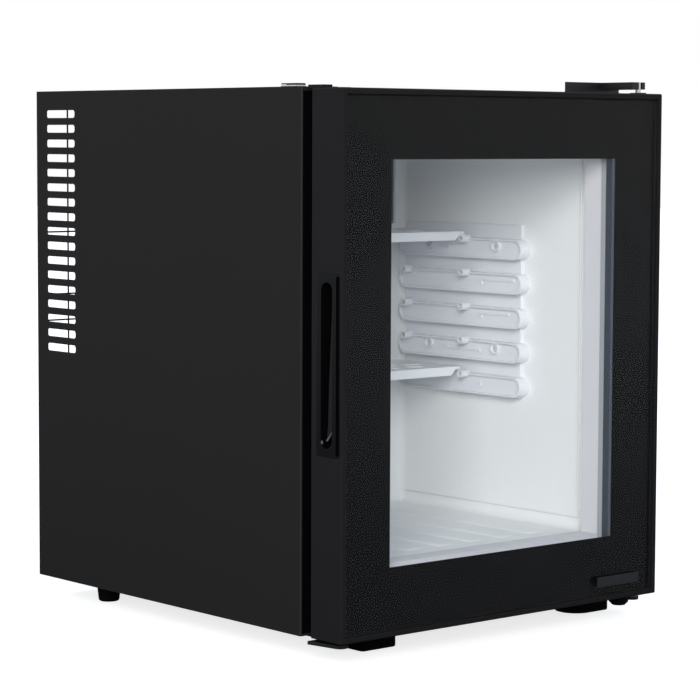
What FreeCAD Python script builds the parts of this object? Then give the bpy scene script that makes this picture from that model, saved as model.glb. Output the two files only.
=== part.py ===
import FreeCAD, Part

import math
import os
import re

import Sketcher
from FreeCAD import Placement, Rotation, Vector

# Small absorption minibar with a glass door, in millimetres.
# +Z is up, the door faces -Y, and the origin is on the floor under the middle of the box.

SIZES = {
    # Cabinet
    "cabinet_width": 385.0,
    "cabinet_depth": 398.0,
    "cabinet_height": 464.5,
    "sheet_thickness": 1.2,
    "fold_width": 12.0,
    "fold_radius": 1.8,
    "foot_height": 21.5,
    # Inner box
    "side_wall": 38.0,
    "floor_wall": 56.0,
    "ceiling_wall": 40.0,
    "rear_wall": 37.0,
    "cavity_radius": 8.0,
    "unit_space": 97.8,
    "liner_thickness": 2.2,
    "liner_edge_gap": 0.3,
    "wall_field_step": 0.8,
    "wall_field_setback": 12.0,
    "wall_field_lift": 11.5,
    "floor_strip_width": 20.0,
    "floor_strip_side_gap": 30.5,
    "floor_strip_side_count": 3,
    "floor_strip_height": 1.0,
    "floor_strip_setback": 26.0,
    "floor_strip_rear_gap": 26.0,
    # Side vents
    "vent_length": 47.5,
    "vent_width": 7.2,
    "vent_radius": 2.6,
    "vent_pitch": 13.8,
    "vent_rows": 17,
    "vent_rear_inset": 17.0,
    "vent_top_inset": 21.5,
    # Door
    "door_top_drop": 1.5,
    "door_depth": 39.0,
    "door_gap": 14.0,
    "door_lift": 0.5,
    "door_edge_radius": 1.5,
    "frame_lip": 5.0,
    "glass_groove": 1.2,
    "glass_setback": 0.5,
    "glass_thickness": 4.0,
    "print_thickness": 0.25,
    "pane_gap": 8.0,
    "pane_margin": 9.0,
    "pane_clearance": 0.2,
    "bead_depth": 5.5,
    "window_side_border": 57.5,
    "window_end_border": 59.0,
    "door_liner_sheet": 2.5,
    "door_liner_proud": 4.0,
    "gasket_inset": 14.0,
    "gasket_width": 17.5,
    "gasket_neck_inset": 3.5,
    "gasket_foot_depth": 3.0,
    "gasket_neck_depth": 2.7,
    "gasket_clearance": 0.3,
    "magnet_width": 10.0,
    "magnet_thickness": 3.5,
    "magnet_clearance": 0.2,
    "magnet_cover": 1.5,
    "badge_width": 54.0,
    "badge_height": 9.2,
    "badge_side_inset": 24.0,
    "badge_lift": 13.5,
    # Finger grip in the door's free edge
    "grip_height": 153.0,
    "grip_width": 31.0,
    "grip_front_inset": 2.0,
    "grip_depth": 18.0,
    "grip_flange": 3.5,
    "grip_inner_inset": 9.5,
    "grip_drop": 230.1,
    "grip_clearance": 0.15,
    "grip_corner_radius": 3.0,
    "scoop_height": 139.0,
    "scoop_width": 14.5,
    "scoop_depth": 15.0,
    "scoop_inset": 19.9,
    "scoop_floor_radius": 4.0,
    "slit_height": 150.0,
    "slit_width": 4.5,
    "slit_depth": 2.8,
    "slit_inset": 5.6,
    # Hinges
    "hinge_side_inset": 14.0,
    "hinge_front_inset": 17.5,
    "hinge_pin_radius": 2.5,
    "hinge_running_clearance": 0.05,
    "bush_radius": 5.5,
    "bush_depth": 14.0,
    "bush_flange_radius": 7.5,
    "bush_flange": 1.0,
    "pin_tip_gap": 1.0,
    "top_shim_thickness": 2.5,
    "top_arm_thickness": 6.6,
    "top_base_width": 71.5,
    "top_base_rear_width": 30.0,
    "top_base_depth": 37.0,
    "top_base_side_gap": 2.0,
    "top_arm_left": 11.0,
    "top_arm_right": 6.0,
    "top_arm_nose": 3.0,
    "top_arm_mouth": 4.4,
    "plate_thickness": 3.0,
    "plate_drop": 3.4,
    "plate_nose_radius": 6.6,
    "plate_side_gap": 2.0,
    "plate_base_inset": 14.0,
    "plate_width": 58.0,
    "plate_neck_width": 27.0,
    "plate_neck_setback": 7.0,
    "plate_depth": 45.0,
    "plate_joggle": 8.0,
    "bottom_pin_radius": 3.0,
    "pin_shoulder_radius": 4.2,
    "pin_shoulder_gap": 0.3,
    "screw_head_radius": 3.6,
    "screw_head_height": 1.8,
    "screw_shank_radius": 1.8,
    "screw_length": 9.0,
    "screw_pocket": 8.0,
    "top_screw_inset": 7.0,
    "plate_screw_inset": 10.0,
    "plate_screw_setback": 5.0,
    "stop_radius": 9.0,
    "stop_height": 9.6,
    "stop_inset": 17.3,
    "stop_round": 3.0,
    "spare_cover_length": 20.0,
    "spare_cover_width": 10.0,
    "spare_cover_inset": 2.0,
    "spare_cover_setback": 9.4,
    "spare_cover_rise": 1.9,
    "spare_cover_sheet": 1.0,
    "spare_cover_foot": 5.0,
    "spare_cover_tail": 7.0,
    "bush_cover_front": 27.5,
    "bush_cover_reach": 8.0,
    "bush_cover_width": 10.0,
    "bush_cover_height": 2.8,
    "bush_cover_step": 7.0,
    "bush_cover_tongue": 1.0,
    "bush_plug_flange": 0.5,
    "bush_plug_radius": 7.5,
    # Feet
    "front_foot_width": 36.0,
    "hinge_foot_width": 46.0,
    "front_foot_depth": 34.0,
    "front_foot_setback": 1.0,
    "front_foot_radius": 4.0,
    "hinge_foot_radius": 15.0,
    "front_foot_round": 1.5,
    "left_foot_inset": 89.4,
    "right_foot_inset": 32.5,
    "rear_foot_inset": 39.0,
    "rear_foot_setback": 62.0,
    "rear_foot_top_radius": 12.3,
    "rear_foot_bottom_radius": 9.9,
    "rear_foot_round": 1.2,
    # Shelf rails
    "rail_plate": 3.0,
    "rail_plate_setback": 88.6,
    "rail_rear_gap": 10.0,
    "rail_plate_above": 23.5,
    "rail_plate_below": 11.6,
    "rail_top_drop": 108.4,
    "rail_pitch": 32.9,
    "rail_count": 5,
    "rail_height": 19.4,
    "rail_proud": 10.0,
    "rail_tip_setback": 79.0,
    "rail_rim": 1.7,
    "rail_recess": 3.0,
    "peg_radius": 3.9,
    "peg_reach": 8.0,
    "peg_rise": 9.2,
    "peg_cup_radius": 2.4,
    "peg_cup_depth": 5.0,
    "front_peg_share": 0.4353,
    "rear_peg_share": 0.9139,
    "boss_radius": 5.6,
    "boss_height": 2.6,
    "boss_bore_radius": 3.9,
    "boss_rise": 3.0,
    "front_boss_share": 0.2092,
    "rear_boss_share": 0.7514,
    "boss_screw_radius": 1.7,
    "boss_screw_head_radius": 3.0,
    "boss_screw_head_height": 1.4,
    "boss_screw_length": 12.0,
    "nub_radius": 2.0,
    "nub_height": 1.6,
    "front_nub_share": 0.3272,
    "rear_nub_share": 0.5954,
    # Shelves
    "shelf_side_gap": 1.0,
    "shelf_depth": 98.0,
    "shelf_deck": 3.0,
    "shelf_lip_height": 8.6,
    "shelf_lip_thickness": 2.5,
    "shelf_rear_lip_height": 6.5,
    "shelf_notch": 8.0,
    "upper_shelf_rear_gap": 10.0,
    "lower_shelf_rear_gap": 5.5,
    "shelf_hole_length": 20.0,
    "shelf_hole_width": 7.0,
    "shelf_hole_side_gap": 18.0,
    "shelf_hole_row_pitch": 21.0,
    "shelf_hole_margin": 22.0,
    "shelf_hole_rows": 4,
    "shelf_hole_columns": 8,
    "shelf_corner_radius": 3.0,
    # Evaporator
    "evaporator_side_gap": 29.5,
    "evaporator_height": 78.0,
    "evaporator_top_gap": 8.0,
    "evaporator_plate": 4.0,
    "fin_thickness": 2.0,
    "fin_reach": 34.0,
    "fin_edge_gap": 15.0,
    "fin_count": 12,
    "evaporator_pipe_radius": 8.0,
    "evaporator_pipe_rise": 42.0,
    "pipe_hole_clearance": 0.2,
    # Absorption cooling unit behind the inner box
    "unit_setback": 47.5,
    "exchanger_radius": 11.0,
    "exchanger_inset": 30.0,
    "exchanger_drop": 24.0,
    "vessel_radius": 24.0,
    "vessel_length": 190.0,
    "vessel_offset": 40.0,
    "vessel_height": 125.0,
    "vessel_dome": 9.0,
    "boiler_radius": 30.0,
    "boiler_gap": 5.0,
    "heater_end_gap": 3.3,
    "boiler_cap_radius": 15.0,
    "boiler_cap_height": 14.0,
    "heater_radius": 5.0,
    "heater_length": 110.0,
    "heater_exposed": 12.0,
    "heater_clearance": 0.1,
    "heater_offset": 14.0,
    "pipe_radius": 7.0,
    "solution_rise": 10.0,
    "pipe_bend": 20.0,
    "condenser_drop": 46.0,
    "condenser_riser": 89.0,
    "condenser_fin_width": 46.0,
    "condenser_fin_height": 40.0,
    "condenser_fin_thickness": 1.0,
    "condenser_fin_count": 16,
    "condenser_fin_gap": 25.0,
    "absorber_pipe_radius": 6.5,
    "absorber_rise": 57.0,
    "absorber_top_drop": 90.0,
    "absorber_left_gap": 37.0,
    "absorber_right_gap": 21.0,
    "absorber_runs": 5,
    "bracket_thickness": 2.0,
    "bracket_width": 18.0,
    "guard_wire_radius": 0.8,
    "guard_side_gap": 33.3,
    "guard_inset": 4.0,
    "guard_lift": 20.0,
    "guard_top_drop": 8.0,
    "guard_lap": 1.2,
    "guard_end": 2.0,
    "guard_first_drop": 133.7,
    "guard_second_drop": 193.5,
    "guard_third_drop": 218.5,
    "guard_corner_height": 130.0,
    "guard_side_wires": 4,
    "control_width": 56.0,
    "control_height": 84.0,
    "control_side_gap": 6.0,
    "control_back_gap": 12.0,
    "control_radius": 3.0,
    "control_wall": 2.5,
    "thermostat_width": 36.0,
    "thermostat_height": 34.0,
    "thermostat_depth": 30.0,
    "dial_radius": 12.0,
    "dial_height": 8.0,
    "dial_gap": 0.3,
    "dial_lift": 62.0,
    "dial_shaft_radius": 3.0,
    "dial_shaft_length": 8.0,
    "dial_groove_radius": 1.6,
    "dial_groove_count": 12,
    "dial_round": 1.2,
    "dial_mark_width": 1.6,
    "dial_mark_depth": 0.8,
    "gland_lift": 22.0,
    "gland_flange_radius": 8.0,
    "gland_flange": 2.0,
    "gland_radius": 5.5,
    "gland_depth": 10.0,
    "gland_bore_radius": 3.6,
    # Drawing aids
    "overrun": 2.0,
}

PLACES = {
    "overall_depth": "door_depth + door_gap + cabinet_depth",
    "door_front": "-overall_depth / 2",
    "door_back": "door_front + door_depth",
    "cabinet_front": "door_back + door_gap",
    "cabinet_back": "overall_depth / 2",
    "cabinet_left": "-cabinet_width / 2",
    "cabinet_right": "cabinet_width / 2",
    "cabinet_bottom": "foot_height",
    "cabinet_top": "foot_height + cabinet_height",
    "door_bottom": "cabinet_bottom + door_lift",
    "door_top": "cabinet_top - door_top_drop",
    "glass_front": "door_front + glass_setback",
    "glass_back": "glass_front + glass_thickness",
    "print_back": "glass_back + print_thickness",
    "rear_glass_front": "glass_back + pane_gap",
    "rear_glass_back": "rear_glass_front + glass_thickness",
    "bead_back": "rear_glass_back + bead_depth",
    "door_liner_back": "door_back + door_liner_proud",
    "gasket_inner_inset": "gasket_inset + gasket_width",
    "gasket_back": "cabinet_front - gasket_clearance",
    "gasket_neck_front": "door_back + gasket_foot_depth",
    "gasket_head_front": "gasket_neck_front + gasket_neck_depth",
    "magnet_front": "gasket_back - magnet_cover - magnet_thickness",
    "cavity_left": "cabinet_left + side_wall",
    "cavity_right": "-cavity_left",
    "cavity_floor": "cabinet_bottom + floor_wall",
    "cavity_ceiling": "cabinet_top - ceiling_wall",
    "bulkhead_back": "cabinet_back - unit_space",
    "bulkhead_front": "bulkhead_back - sheet_thickness",
    "cavity_back": "bulkhead_front - rear_wall",
    "floor_strip_reach": "cavity_right - floor_strip_side_gap - floor_strip_width / 2",
    "floor_strip_step": "floor_strip_reach / floor_strip_side_count",
    "hinge_x": "cabinet_right - hinge_side_inset",
    "hinge_y": "door_front + hinge_front_inset",
    "arm_bottom": "cabinet_top + top_shim_thickness",
    "arm_top": "arm_bottom + top_arm_thickness",
    "plate_bottom": "door_bottom - plate_drop - plate_thickness",
    "plate_seat": "cabinet_bottom - plate_thickness",
    "plate_outer": "cabinet_right - plate_side_gap",
    "plate_base_outer": "plate_outer - plate_base_inset",
    "top_base_right": "cabinet_right - top_base_side_gap",
    "grip_top": "door_top - grip_drop + grip_height / 2",
    "grip_middle": "door_top - grip_drop",
    "rail_face": "cavity_right - rail_plate - rail_proud",
    "rail_top_centre": "cavity_ceiling - rail_top_drop",
    "rail_bottom_centre": "rail_top_centre - rail_pitch * (rail_count - 1)",
    "rail_tip": "cabinet_front + rail_tip_setback",
    "rail_rear": "cavity_back - rail_rear_gap",
    "rail_length": "rail_rear - rail_tip",
    "shelf_half": "rail_face - shelf_side_gap",
    "shelf_hole_reach": "shelf_half - shelf_hole_side_gap - shelf_hole_length / 2",
    "shelf_hole_step": "2 * shelf_hole_reach / (shelf_hole_columns - 0.5)",
    "evaporator_half": "cavity_right - evaporator_side_gap",
    "fin_step": "2 * (evaporator_half - fin_edge_gap) / (fin_count - 1)",
    "evaporator_bottom": "cavity_ceiling - evaporator_top_gap - evaporator_height",
    "evaporator_pipe_z": "evaporator_bottom + evaporator_pipe_rise",
    "unit_y": "bulkhead_back + unit_setback",
    "vessel_left": "-vessel_offset - vessel_length / 2",
    "vessel_right": "vessel_left + vessel_length",
    "exchanger_x": "vessel_left + exchanger_inset",
    "boiler_x": "vessel_right + boiler_gap + boiler_radius",
    "condenser_z": "cabinet_top - condenser_drop",
    "exchanger_top": "condenser_z - exchanger_drop",
    "boiler_top": "condenser_z - condenser_riser - boiler_cap_height",
    "coil_left": "exchanger_x + absorber_left_gap",
    "coil_right": "vessel_right - absorber_right_gap",
    "coil_bottom": "vessel_height + absorber_rise",
    "coil_top": "exchanger_top - absorber_top_drop",
    "coil_step": "(coil_top - coil_bottom) / (absorber_runs - 1)",
    "condenser_fin_first": "boiler_x - condenser_fin_gap",
    "condenser_fin_span": "condenser_fin_first - exchanger_x - condenser_fin_gap",
    "condenser_fin_step": "condenser_fin_span / (condenser_fin_count - 1)",
    "guard_y": "cabinet_back - guard_inset",
    "guard_top": "cabinet_top - guard_top_drop",
    "guard_step": "(cabinet_right - guard_side_gap) / guard_side_wires",
    "control_right": "cabinet_right - sheet_thickness - control_side_gap",
    "control_left": "control_right - control_width",
    "control_back": "cabinet_back - control_back_gap",
    "control_bottom": "cabinet_bottom + sheet_thickness",
    "control_top": "control_bottom + control_height",
    "boiler_bottom": "control_top + heater_end_gap + heater_exposed",
    "dial_x": "control_left + control_width / 2",
    "dial_z": "control_bottom + dial_lift",
}

doc = FreeCAD.newDocument("minibar")

# Driving dimensions in a sheet, and the places worked out from them
sheet = doc.addObject("Spreadsheet::Sheet", "Sizes")
for row, (alias, size) in enumerate(SIZES.items(), start=1):
    sheet.set(f"A{row}", alias.replace("_", " "))
    sheet.set(f"B{row}", str(size))
    sheet.setAlias(f"B{row}", alias)
doc.recompute()

TOUCH = 1e-4
STRAIGHT = 1e-6
FIRST_RAIL = 0
FOURTH_RAIL = 3
LAST_RAIL = 4

places = doc.addObject("App::VarSet", "Places")
WORD = re.compile(r"[a-z][a-z_0-9]*")


def bound(text):
    """An expression in plain words, with each word led back to the object that holds it."""

    def holder(match):
        word = match.group(0)
        if word in SIZES:
            return "Sizes." + word
        if word in PLACES:
            return "Places." + word
        return word

    return WORD.sub(holder, text)


for word, rule in PLACES.items():
    places.addProperty("App::PropertyFloat", word, "Places")
    places.setExpression(word, bound(rule))
reading = doc.addObject("App::VarSet", "Reading")
reading.addProperty("App::PropertyFloat", "value", "Reading")
doc.recompute()


def number(text):
    """The present value of an expression."""
    reading.setExpression("value", bound(text))
    reading.recompute()
    return reading.value


def set_rule(obj, prop, text):
    obj.setExpression(prop, bound(text))


def move_rule(obj, x="0", y="0", z="0"):
    set_rule(obj, ".Placement.Base.x", x)
    set_rule(obj, ".Placement.Base.y", y)
    set_rule(obj, ".Placement.Base.z", z)


# Solids from primitives


def box(name, x, y, z):
    """A box between pairs of bounds, each pair (low, high) in words."""
    made = doc.addObject("Part::Box", name)
    for prop, (low, high) in zip(("Length", "Width", "Height"), (x, y, z)):
        set_rule(made, prop, f"({high}) - ({low})")
    move_rule(made, x[0], y[0], z[0])
    return made


AXIS_TURNS = {
    "Z": Rotation(),
    "X": Rotation(Vector(0, 1, 0), 90),
    "Y": Rotation(Vector(1, 0, 0), -90),
}


def cylinder(name, radius, length, x, y, z, along="Z"):
    made = doc.addObject("Part::Cylinder", name)
    set_rule(made, "Radius", radius)
    set_rule(made, "Height", length)
    made.Placement = Placement(Vector(), AXIS_TURNS[along])
    move_rule(made, x, y, z)
    return made


def cut(name, base, *tools):
    for index, tool in enumerate(tools, start=1):
        last = index == len(tools)
        made = doc.addObject("Part::Cut", name if last else f"{name}_cut_{index}")
        made.Base = base
        made.Tool = tool
        base = made
    return base


def fuse(name, *shapes):
    made = doc.addObject("Part::MultiFuse", name)
    made.Shapes = list(shapes)
    made.Refine = True
    return made


def round_edges(name, base, radius, wanted):
    """Rounds the edges of a solid that the test picks."""
    doc.recompute()
    made = doc.addObject("Part::Fillet", name)
    made.Base = base
    size = number(radius)
    chosen = [k for k, edge in enumerate(base.Shape.Edges, start=1) if wanted(edge)]
    made.Edges = [(k, size, size) for k in chosen]
    return made


def fixed_shape(name, shape):
    made = doc.addObject("Part::Feature", name)
    made.Shape = shape
    return made


def runs_along(axis):
    """A test for straight edges that run along an axis."""
    way = {"X": Vector(1, 0, 0), "Y": Vector(0, 1, 0), "Z": Vector(0, 0, 1)}[axis]

    def test(edge):
        if not isinstance(edge.Curve, (Part.Line, Part.LineSegment)):
            return False
        return abs(abs(edge.tangentAt(edge.FirstParameter).dot(way)) - 1) < STRAIGHT

    return test


def near(first, second):
    return abs(first - second) < TOUCH


# Sketched bodies


def new_body(name):
    return doc.addObject("PartDesign::Body", name)


def origin_feature(body, role):
    return [item for item in body.Origin.OriginFeatures if item.Role == role][0]


def new_sketch(body, name, plane, offset="0"):
    made = body.newObject("Sketcher::SketchObject", name)
    made.AttachmentSupport = [(origin_feature(body, plane), "")]
    made.MapMode = "FlatFace"
    set_rule(made, ".AttachmentOffset.Base.z", offset)
    return made


def fix_point(sketch, item, end, x, y):
    """Ties a point of the sketch to its place."""
    for kind, text in (("DistanceX", x), ("DistanceY", y)):
        index = sketch.addConstraint(Sketcher.Constraint(kind, -1, 1, item, end, number(text)))
        set_rule(sketch, f"Constraints[{index}]", text)


def fix_radius(sketch, item, radius):
    index = sketch.addConstraint(Sketcher.Constraint("Radius", item, number(radius)))
    set_rule(sketch, f"Constraints[{index}]", radius)


def polygon(sketch, points):
    """A closed outline of straight lines through points in words."""
    spots = [Vector(number(x), number(y), 0) for x, y in points]
    first = sketch.GeometryCount
    count = len(spots)
    for k in range(count):
        sketch.addGeometry(Part.LineSegment(spots[k], spots[(k + 1) % count]), False)
    for k in range(count):
        follower = first + (k + 1) % count
        sketch.addConstraint(Sketcher.Constraint("Coincident", first + k, 2, follower, 1))
    for k, (x, y) in enumerate(points):
        fix_point(sketch, first + k, 1, x, y)


def rectangle(sketch, x, y):
    polygon(sketch, [(x[0], y[0]), (x[1], y[0]), (x[1], y[1]), (x[0], y[1])])


def circle(sketch, x, y, radius):
    middle = Vector(number(x), number(y), 0)
    item = sketch.addGeometry(Part.Circle(middle, Vector(0, 0, 1), number(radius)), False)
    fix_point(sketch, item, 3, x, y)
    fix_radius(sketch, item, radius)


def racetrack(sketch, start, end, radius):
    """Two half circles about start and end, joined by two straight sides."""
    near_middle = Vector(number(start[0]), number(start[1]), 0)
    far_middle = Vector(number(end[0]), number(end[1]), 0)
    size = number(radius)
    turn = math.atan2(far_middle.y - near_middle.y, far_middle.x - near_middle.x)
    side = Vector(-math.sin(turn), math.cos(turn), 0) * size
    up = Vector(0, 0, 1)
    half = math.pi / 2
    near_arc = Part.ArcOfCircle(Part.Circle(near_middle, up, size), turn + half, turn + 3 * half)
    far_arc = Part.ArcOfCircle(Part.Circle(far_middle, up, size), turn - half, turn + half)
    a = sketch.addGeometry(near_arc, False)
    b = sketch.addGeometry(Part.LineSegment(near_middle - side, far_middle - side), False)
    c = sketch.addGeometry(far_arc, False)
    d = sketch.addGeometry(Part.LineSegment(far_middle + side, near_middle + side), False)
    for one, other in ((a, b), (b, c), (c, d), (d, a)):
        sketch.addConstraint(Sketcher.Constraint("Tangent", one, 2, other, 1))
    fix_point(sketch, a, 3, *start)
    fix_point(sketch, c, 3, *end)
    fix_radius(sketch, a, radius)


def rounded_rectangle(sketch, x, y, radius):
    """A rectangle between bounds in words, with equal round corners."""
    x0, x1, y0, y1 = (number(text) for text in (*x, *y))
    size = number(radius)
    corners = [
        (f"{x[1]} - {radius}", f"{y[0]} + {radius}", Vector(x1 - size, y0 + size, 0), -90),
        (f"{x[1]} - {radius}", f"{y[1]} - {radius}", Vector(x1 - size, y1 - size, 0), 0),
        (f"{x[0]} + {radius}", f"{y[1]} - {radius}", Vector(x0 + size, y1 - size, 0), 90),
        (f"{x[0]} + {radius}", f"{y[0]} + {radius}", Vector(x0 + size, y0 + size, 0), 180),
    ]
    up = Vector(0, 0, 1)
    arcs = []
    for _, _, middle, start in corners:
        arc = Part.ArcOfCircle(
            Part.Circle(middle, up, size), math.radians(start), math.radians(start + 90)
        )
        arcs.append(arc)
    items = []
    for k, arc in enumerate(arcs):
        following = arcs[(k + 1) % len(arcs)]
        items.append(sketch.addGeometry(arc, False))
        items.append(sketch.addGeometry(Part.LineSegment(arc.EndPoint, following.StartPoint), False))
    for k, item in enumerate(items):
        follower = items[(k + 1) % len(items)]
        sketch.addConstraint(Sketcher.Constraint("Tangent", item, 2, follower, 1))
    for k, (x_text, y_text, _, _) in enumerate(corners):
        fix_point(sketch, items[2 * k], 3, x_text, y_text)
    fix_radius(sketch, items[0], radius)


def pad(body, sketch, length, backwards=False):
    made = body.newObject("PartDesign::Pad", sketch.Name + "_pad")
    made.Profile = sketch
    set_rule(made, "Length", length)
    made.Reversed = backwards
    sketch.Visibility = False
    return made


def pocket(body, sketch, length, backwards=False):
    made = body.newObject("PartDesign::Pocket", sketch.Name + "_pocket")
    made.Profile = sketch
    set_rule(made, "Length", length)
    made.Reversed = backwards
    sketch.Visibility = False
    return made


def revolve(body, sketch, role):
    made = body.newObject("PartDesign::Revolution", sketch.Name + "_turned")
    made.Profile = sketch
    made.ReferenceAxis = (origin_feature(body, role), [""])
    made.Angle = 360
    return made


def row_of(body, features, role, span, count, backwards=False):
    """Repeats features along an axis of the body: count of them over a span."""
    made = body.newObject("PartDesign::LinearPattern", features[0].Name + "_row")
    made.Originals = features
    made.Direction = (origin_feature(body, role), [""])
    made.Reversed = backwards
    set_rule(made, "Length", span)
    set_rule(made, "Occurrences", count)
    body.Tip = made
    return made


def round_body(body, name, radius, wanted):
    """Rounds the edges of a body's newest feature that the test picks."""
    doc.recompute()
    base = body.Tip
    chosen = [f"Edge{k}" for k, edge in enumerate(base.Shape.Edges, start=1) if wanted(edge)]
    made = body.newObject("PartDesign::Fillet", name)
    made.Base = (base, chosen)
    set_rule(made, "Radius", radius)
    return made


# Cabinet shell


def side_panel(side):
    """A folded sheet on one side, with a fold at its front and rear and a column of vents."""
    word = "left" if side < 0 else "right"
    out = f"({side} * cabinet_width / 2)"
    inward = f"({-side})"
    body = new_body(f"{word}_side_panel")
    plan = new_sketch(body, f"{word}_panel_plan", "XY_Plane", "cabinet_bottom")
    inner = f"{out} + {inward} * sheet_thickness"
    fold = f"{out} + {inward} * fold_width"
    polygon(
        plan,
        [
            (out, "cabinet_front"),
            (fold, "cabinet_front"),
            (fold, "cabinet_front + sheet_thickness"),
            (inner, "cabinet_front + sheet_thickness"),
            (inner, "cabinet_back - sheet_thickness"),
            (fold, "cabinet_back - sheet_thickness"),
            (fold, "cabinet_back"),
            (out, "cabinet_back"),
        ],
    )
    pad(body, plan, "cabinet_height")
    outer_x = number(out)

    def outer_fold(edge):
        return runs_along("Z")(edge) and near(edge.CenterOfMass.x, outer_x)

    round_body(body, f"{word}_panel_folds", "fold_radius", outer_fold)
    slot = new_sketch(body, f"{word}_vent", "YZ_Plane", f"{out} + ({side}) * overrun")
    rear = "cabinet_back - vent_rear_inset"
    height = "cabinet_top - vent_top_inset"
    rounded_rectangle(
        slot,
        (f"{rear} - vent_length", rear),
        (f"{height} - vent_width / 2", f"{height} + vent_width / 2"),
        "vent_radius",
    )
    hole = pocket(body, slot, "2 * overrun", backwards=side < 0)
    row_of(body, [hole], "Z_Axis", "vent_pitch * (vent_rows - 1)", "vent_rows", backwards=True)
    return body


def between(low, high, gap):
    return (f"{low} + ({gap})", f"{high} - ({gap})")


def flat_panel(name, outer, inner, fold_end):
    """The top or base sheet: a flat between the side panels and a fold across the front."""
    flat = box(
        f"{name}_flat",
        between("cabinet_left", "cabinet_right", "sheet_thickness"),
        between("cabinet_front", "cabinet_back", "sheet_thickness"),
        (min_of(outer, inner), max_of(outer, inner)),
    )
    fold = box(
        f"{name}_fold",
        between("cabinet_left", "cabinet_right", "fold_width"),
        ("cabinet_front", "cabinet_front + sheet_thickness"),
        (min_of(outer, fold_end), max_of(outer, fold_end)),
    )
    return fuse(f"{name}_sheet", flat, fold)


def min_of(first, second):
    return first if number(first) < number(second) else second


def max_of(first, second):
    return second if number(first) < number(second) else first


def top_screw_spots():
    """The three screws that hold the top hinge, from its free edge inwards."""
    rear = "cabinet_front + top_base_depth - top_screw_inset"
    front = "cabinet_front + top_screw_inset"
    return [
        ("top_base_right - top_screw_inset", rear),
        ("top_base_right - top_base_width / 2 + top_screw_inset", front),
        ("top_base_right - top_base_width + 2 * top_screw_inset", front),
    ]


def plate_screw_spots(side):
    """The two screws behind the foot that hold a bottom plate."""
    outer = f"({side}) * (plate_base_outer - plate_screw_inset)"
    inner = f"({side}) * (plate_outer - plate_width + plate_screw_inset)"
    y = "cabinet_front + plate_depth - plate_screw_setback"
    return [(outer, y), (inner, y)]


def screw_holes(name, spots, low, high):
    return [
        cylinder(f"{name}_{k}", "screw_shank_radius", f"{high} - ({low})", x, y, low)
        for k, (x, y) in enumerate(spots, start=1)
    ]


def pipe_hole(name, front, back):
    """The passage of the evaporator pipe through a wall."""
    radius = "evaporator_pipe_radius + pipe_hole_clearance"
    return cylinder(
        name, radius, f"{back} - ({front})", "exchanger_x", front, "evaporator_pipe_z", "Y"
    )


def top_panel():
    sheet_top = flat_panel(
        "top_panel", "cabinet_top", "cabinet_top - sheet_thickness", "cabinet_top - fold_width"
    )
    low = "cabinet_top - sheet_thickness - overrun"
    holes = screw_holes("top_hole", top_screw_spots(), low, "cabinet_top + overrun")
    return cut("top_panel", sheet_top, *holes)


def base_panel():
    sheet_base = flat_panel(
        "base_panel", "cabinet_bottom", "cabinet_bottom + sheet_thickness", "cabinet_bottom + fold_width"
    )
    high = "cabinet_bottom + sheet_thickness + overrun"
    spots = plate_screw_spots(1) + plate_screw_spots(-1)
    holes = screw_holes("base_hole", spots, "cabinet_bottom - overrun", high)
    return cut("base_panel", sheet_base, *holes)


def rear_bulkhead():
    wall = box(
        "bulkhead_wall",
        between("cabinet_left", "cabinet_right", "sheet_thickness"),
        ("bulkhead_front", "bulkhead_back"),
        between("cabinet_bottom", "cabinet_top", "sheet_thickness"),
    )
    hole = pipe_hole("bulkhead_hole", "bulkhead_front - overrun", "bulkhead_back + overrun")
    return cut("rear_bulkhead", wall, hole)


def cavity_block(name, front, grow, sideways="0"):
    """The inner box as a solid with round edges, grown by a wall."""
    block = box(
        f"{name}_block",
        (f"cavity_left - {grow} - {sideways}", f"cavity_right + {grow} + {sideways}"),
        (front, f"cavity_back + {grow}"),
        (f"cavity_floor - {grow}", f"cavity_ceiling + {grow}"),
    )
    front_y = number(front)

    def off_the_front(edge):
        return edge.BoundBox.YMax > front_y + TOUCH

    return round_edges(name, block, f"cavity_radius + {grow}", off_the_front)


def insulation_foam():
    block = box(
        "foam_block",
        between("cabinet_left", "cabinet_right", "sheet_thickness"),
        ("cabinet_front + liner_thickness", "bulkhead_front"),
        between("cabinet_bottom", "cabinet_top", "sheet_thickness"),
    )
    hollow = cavity_block("foam_hollow", "cabinet_front", "liner_thickness")
    hole = pipe_hole("foam_hole", "cavity_back", "bulkhead_front + overrun")
    holes = []
    holes += screw_holes("foam_top_hole", top_screw_spots(), "cabinet_top - screw_pocket", "cabinet_top")
    spots = plate_screw_spots(1) + plate_screw_spots(-1)
    low, high = "cabinet_bottom", "cabinet_bottom + screw_pocket"
    holes += screw_holes("foam_base_hole", spots, low, high)
    return cut("insulation_foam", block, hollow, hole, *holes)


def liner_borders():
    """The space in front of and below the side walls' raised fields."""
    wide = cavity_block("liner_wide", "cabinet_front - overrun", "0", "wall_field_step")
    field = box(
        "liner_field",
        (
            "cavity_left - wall_field_step - overrun",
            "cavity_right + wall_field_step + overrun",
        ),
        ("cabinet_front + wall_field_setback", "cavity_back + overrun"),
        ("cavity_floor + wall_field_lift", "cavity_ceiling + overrun"),
    )
    return cut("liner_borders", wide, field)


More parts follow.
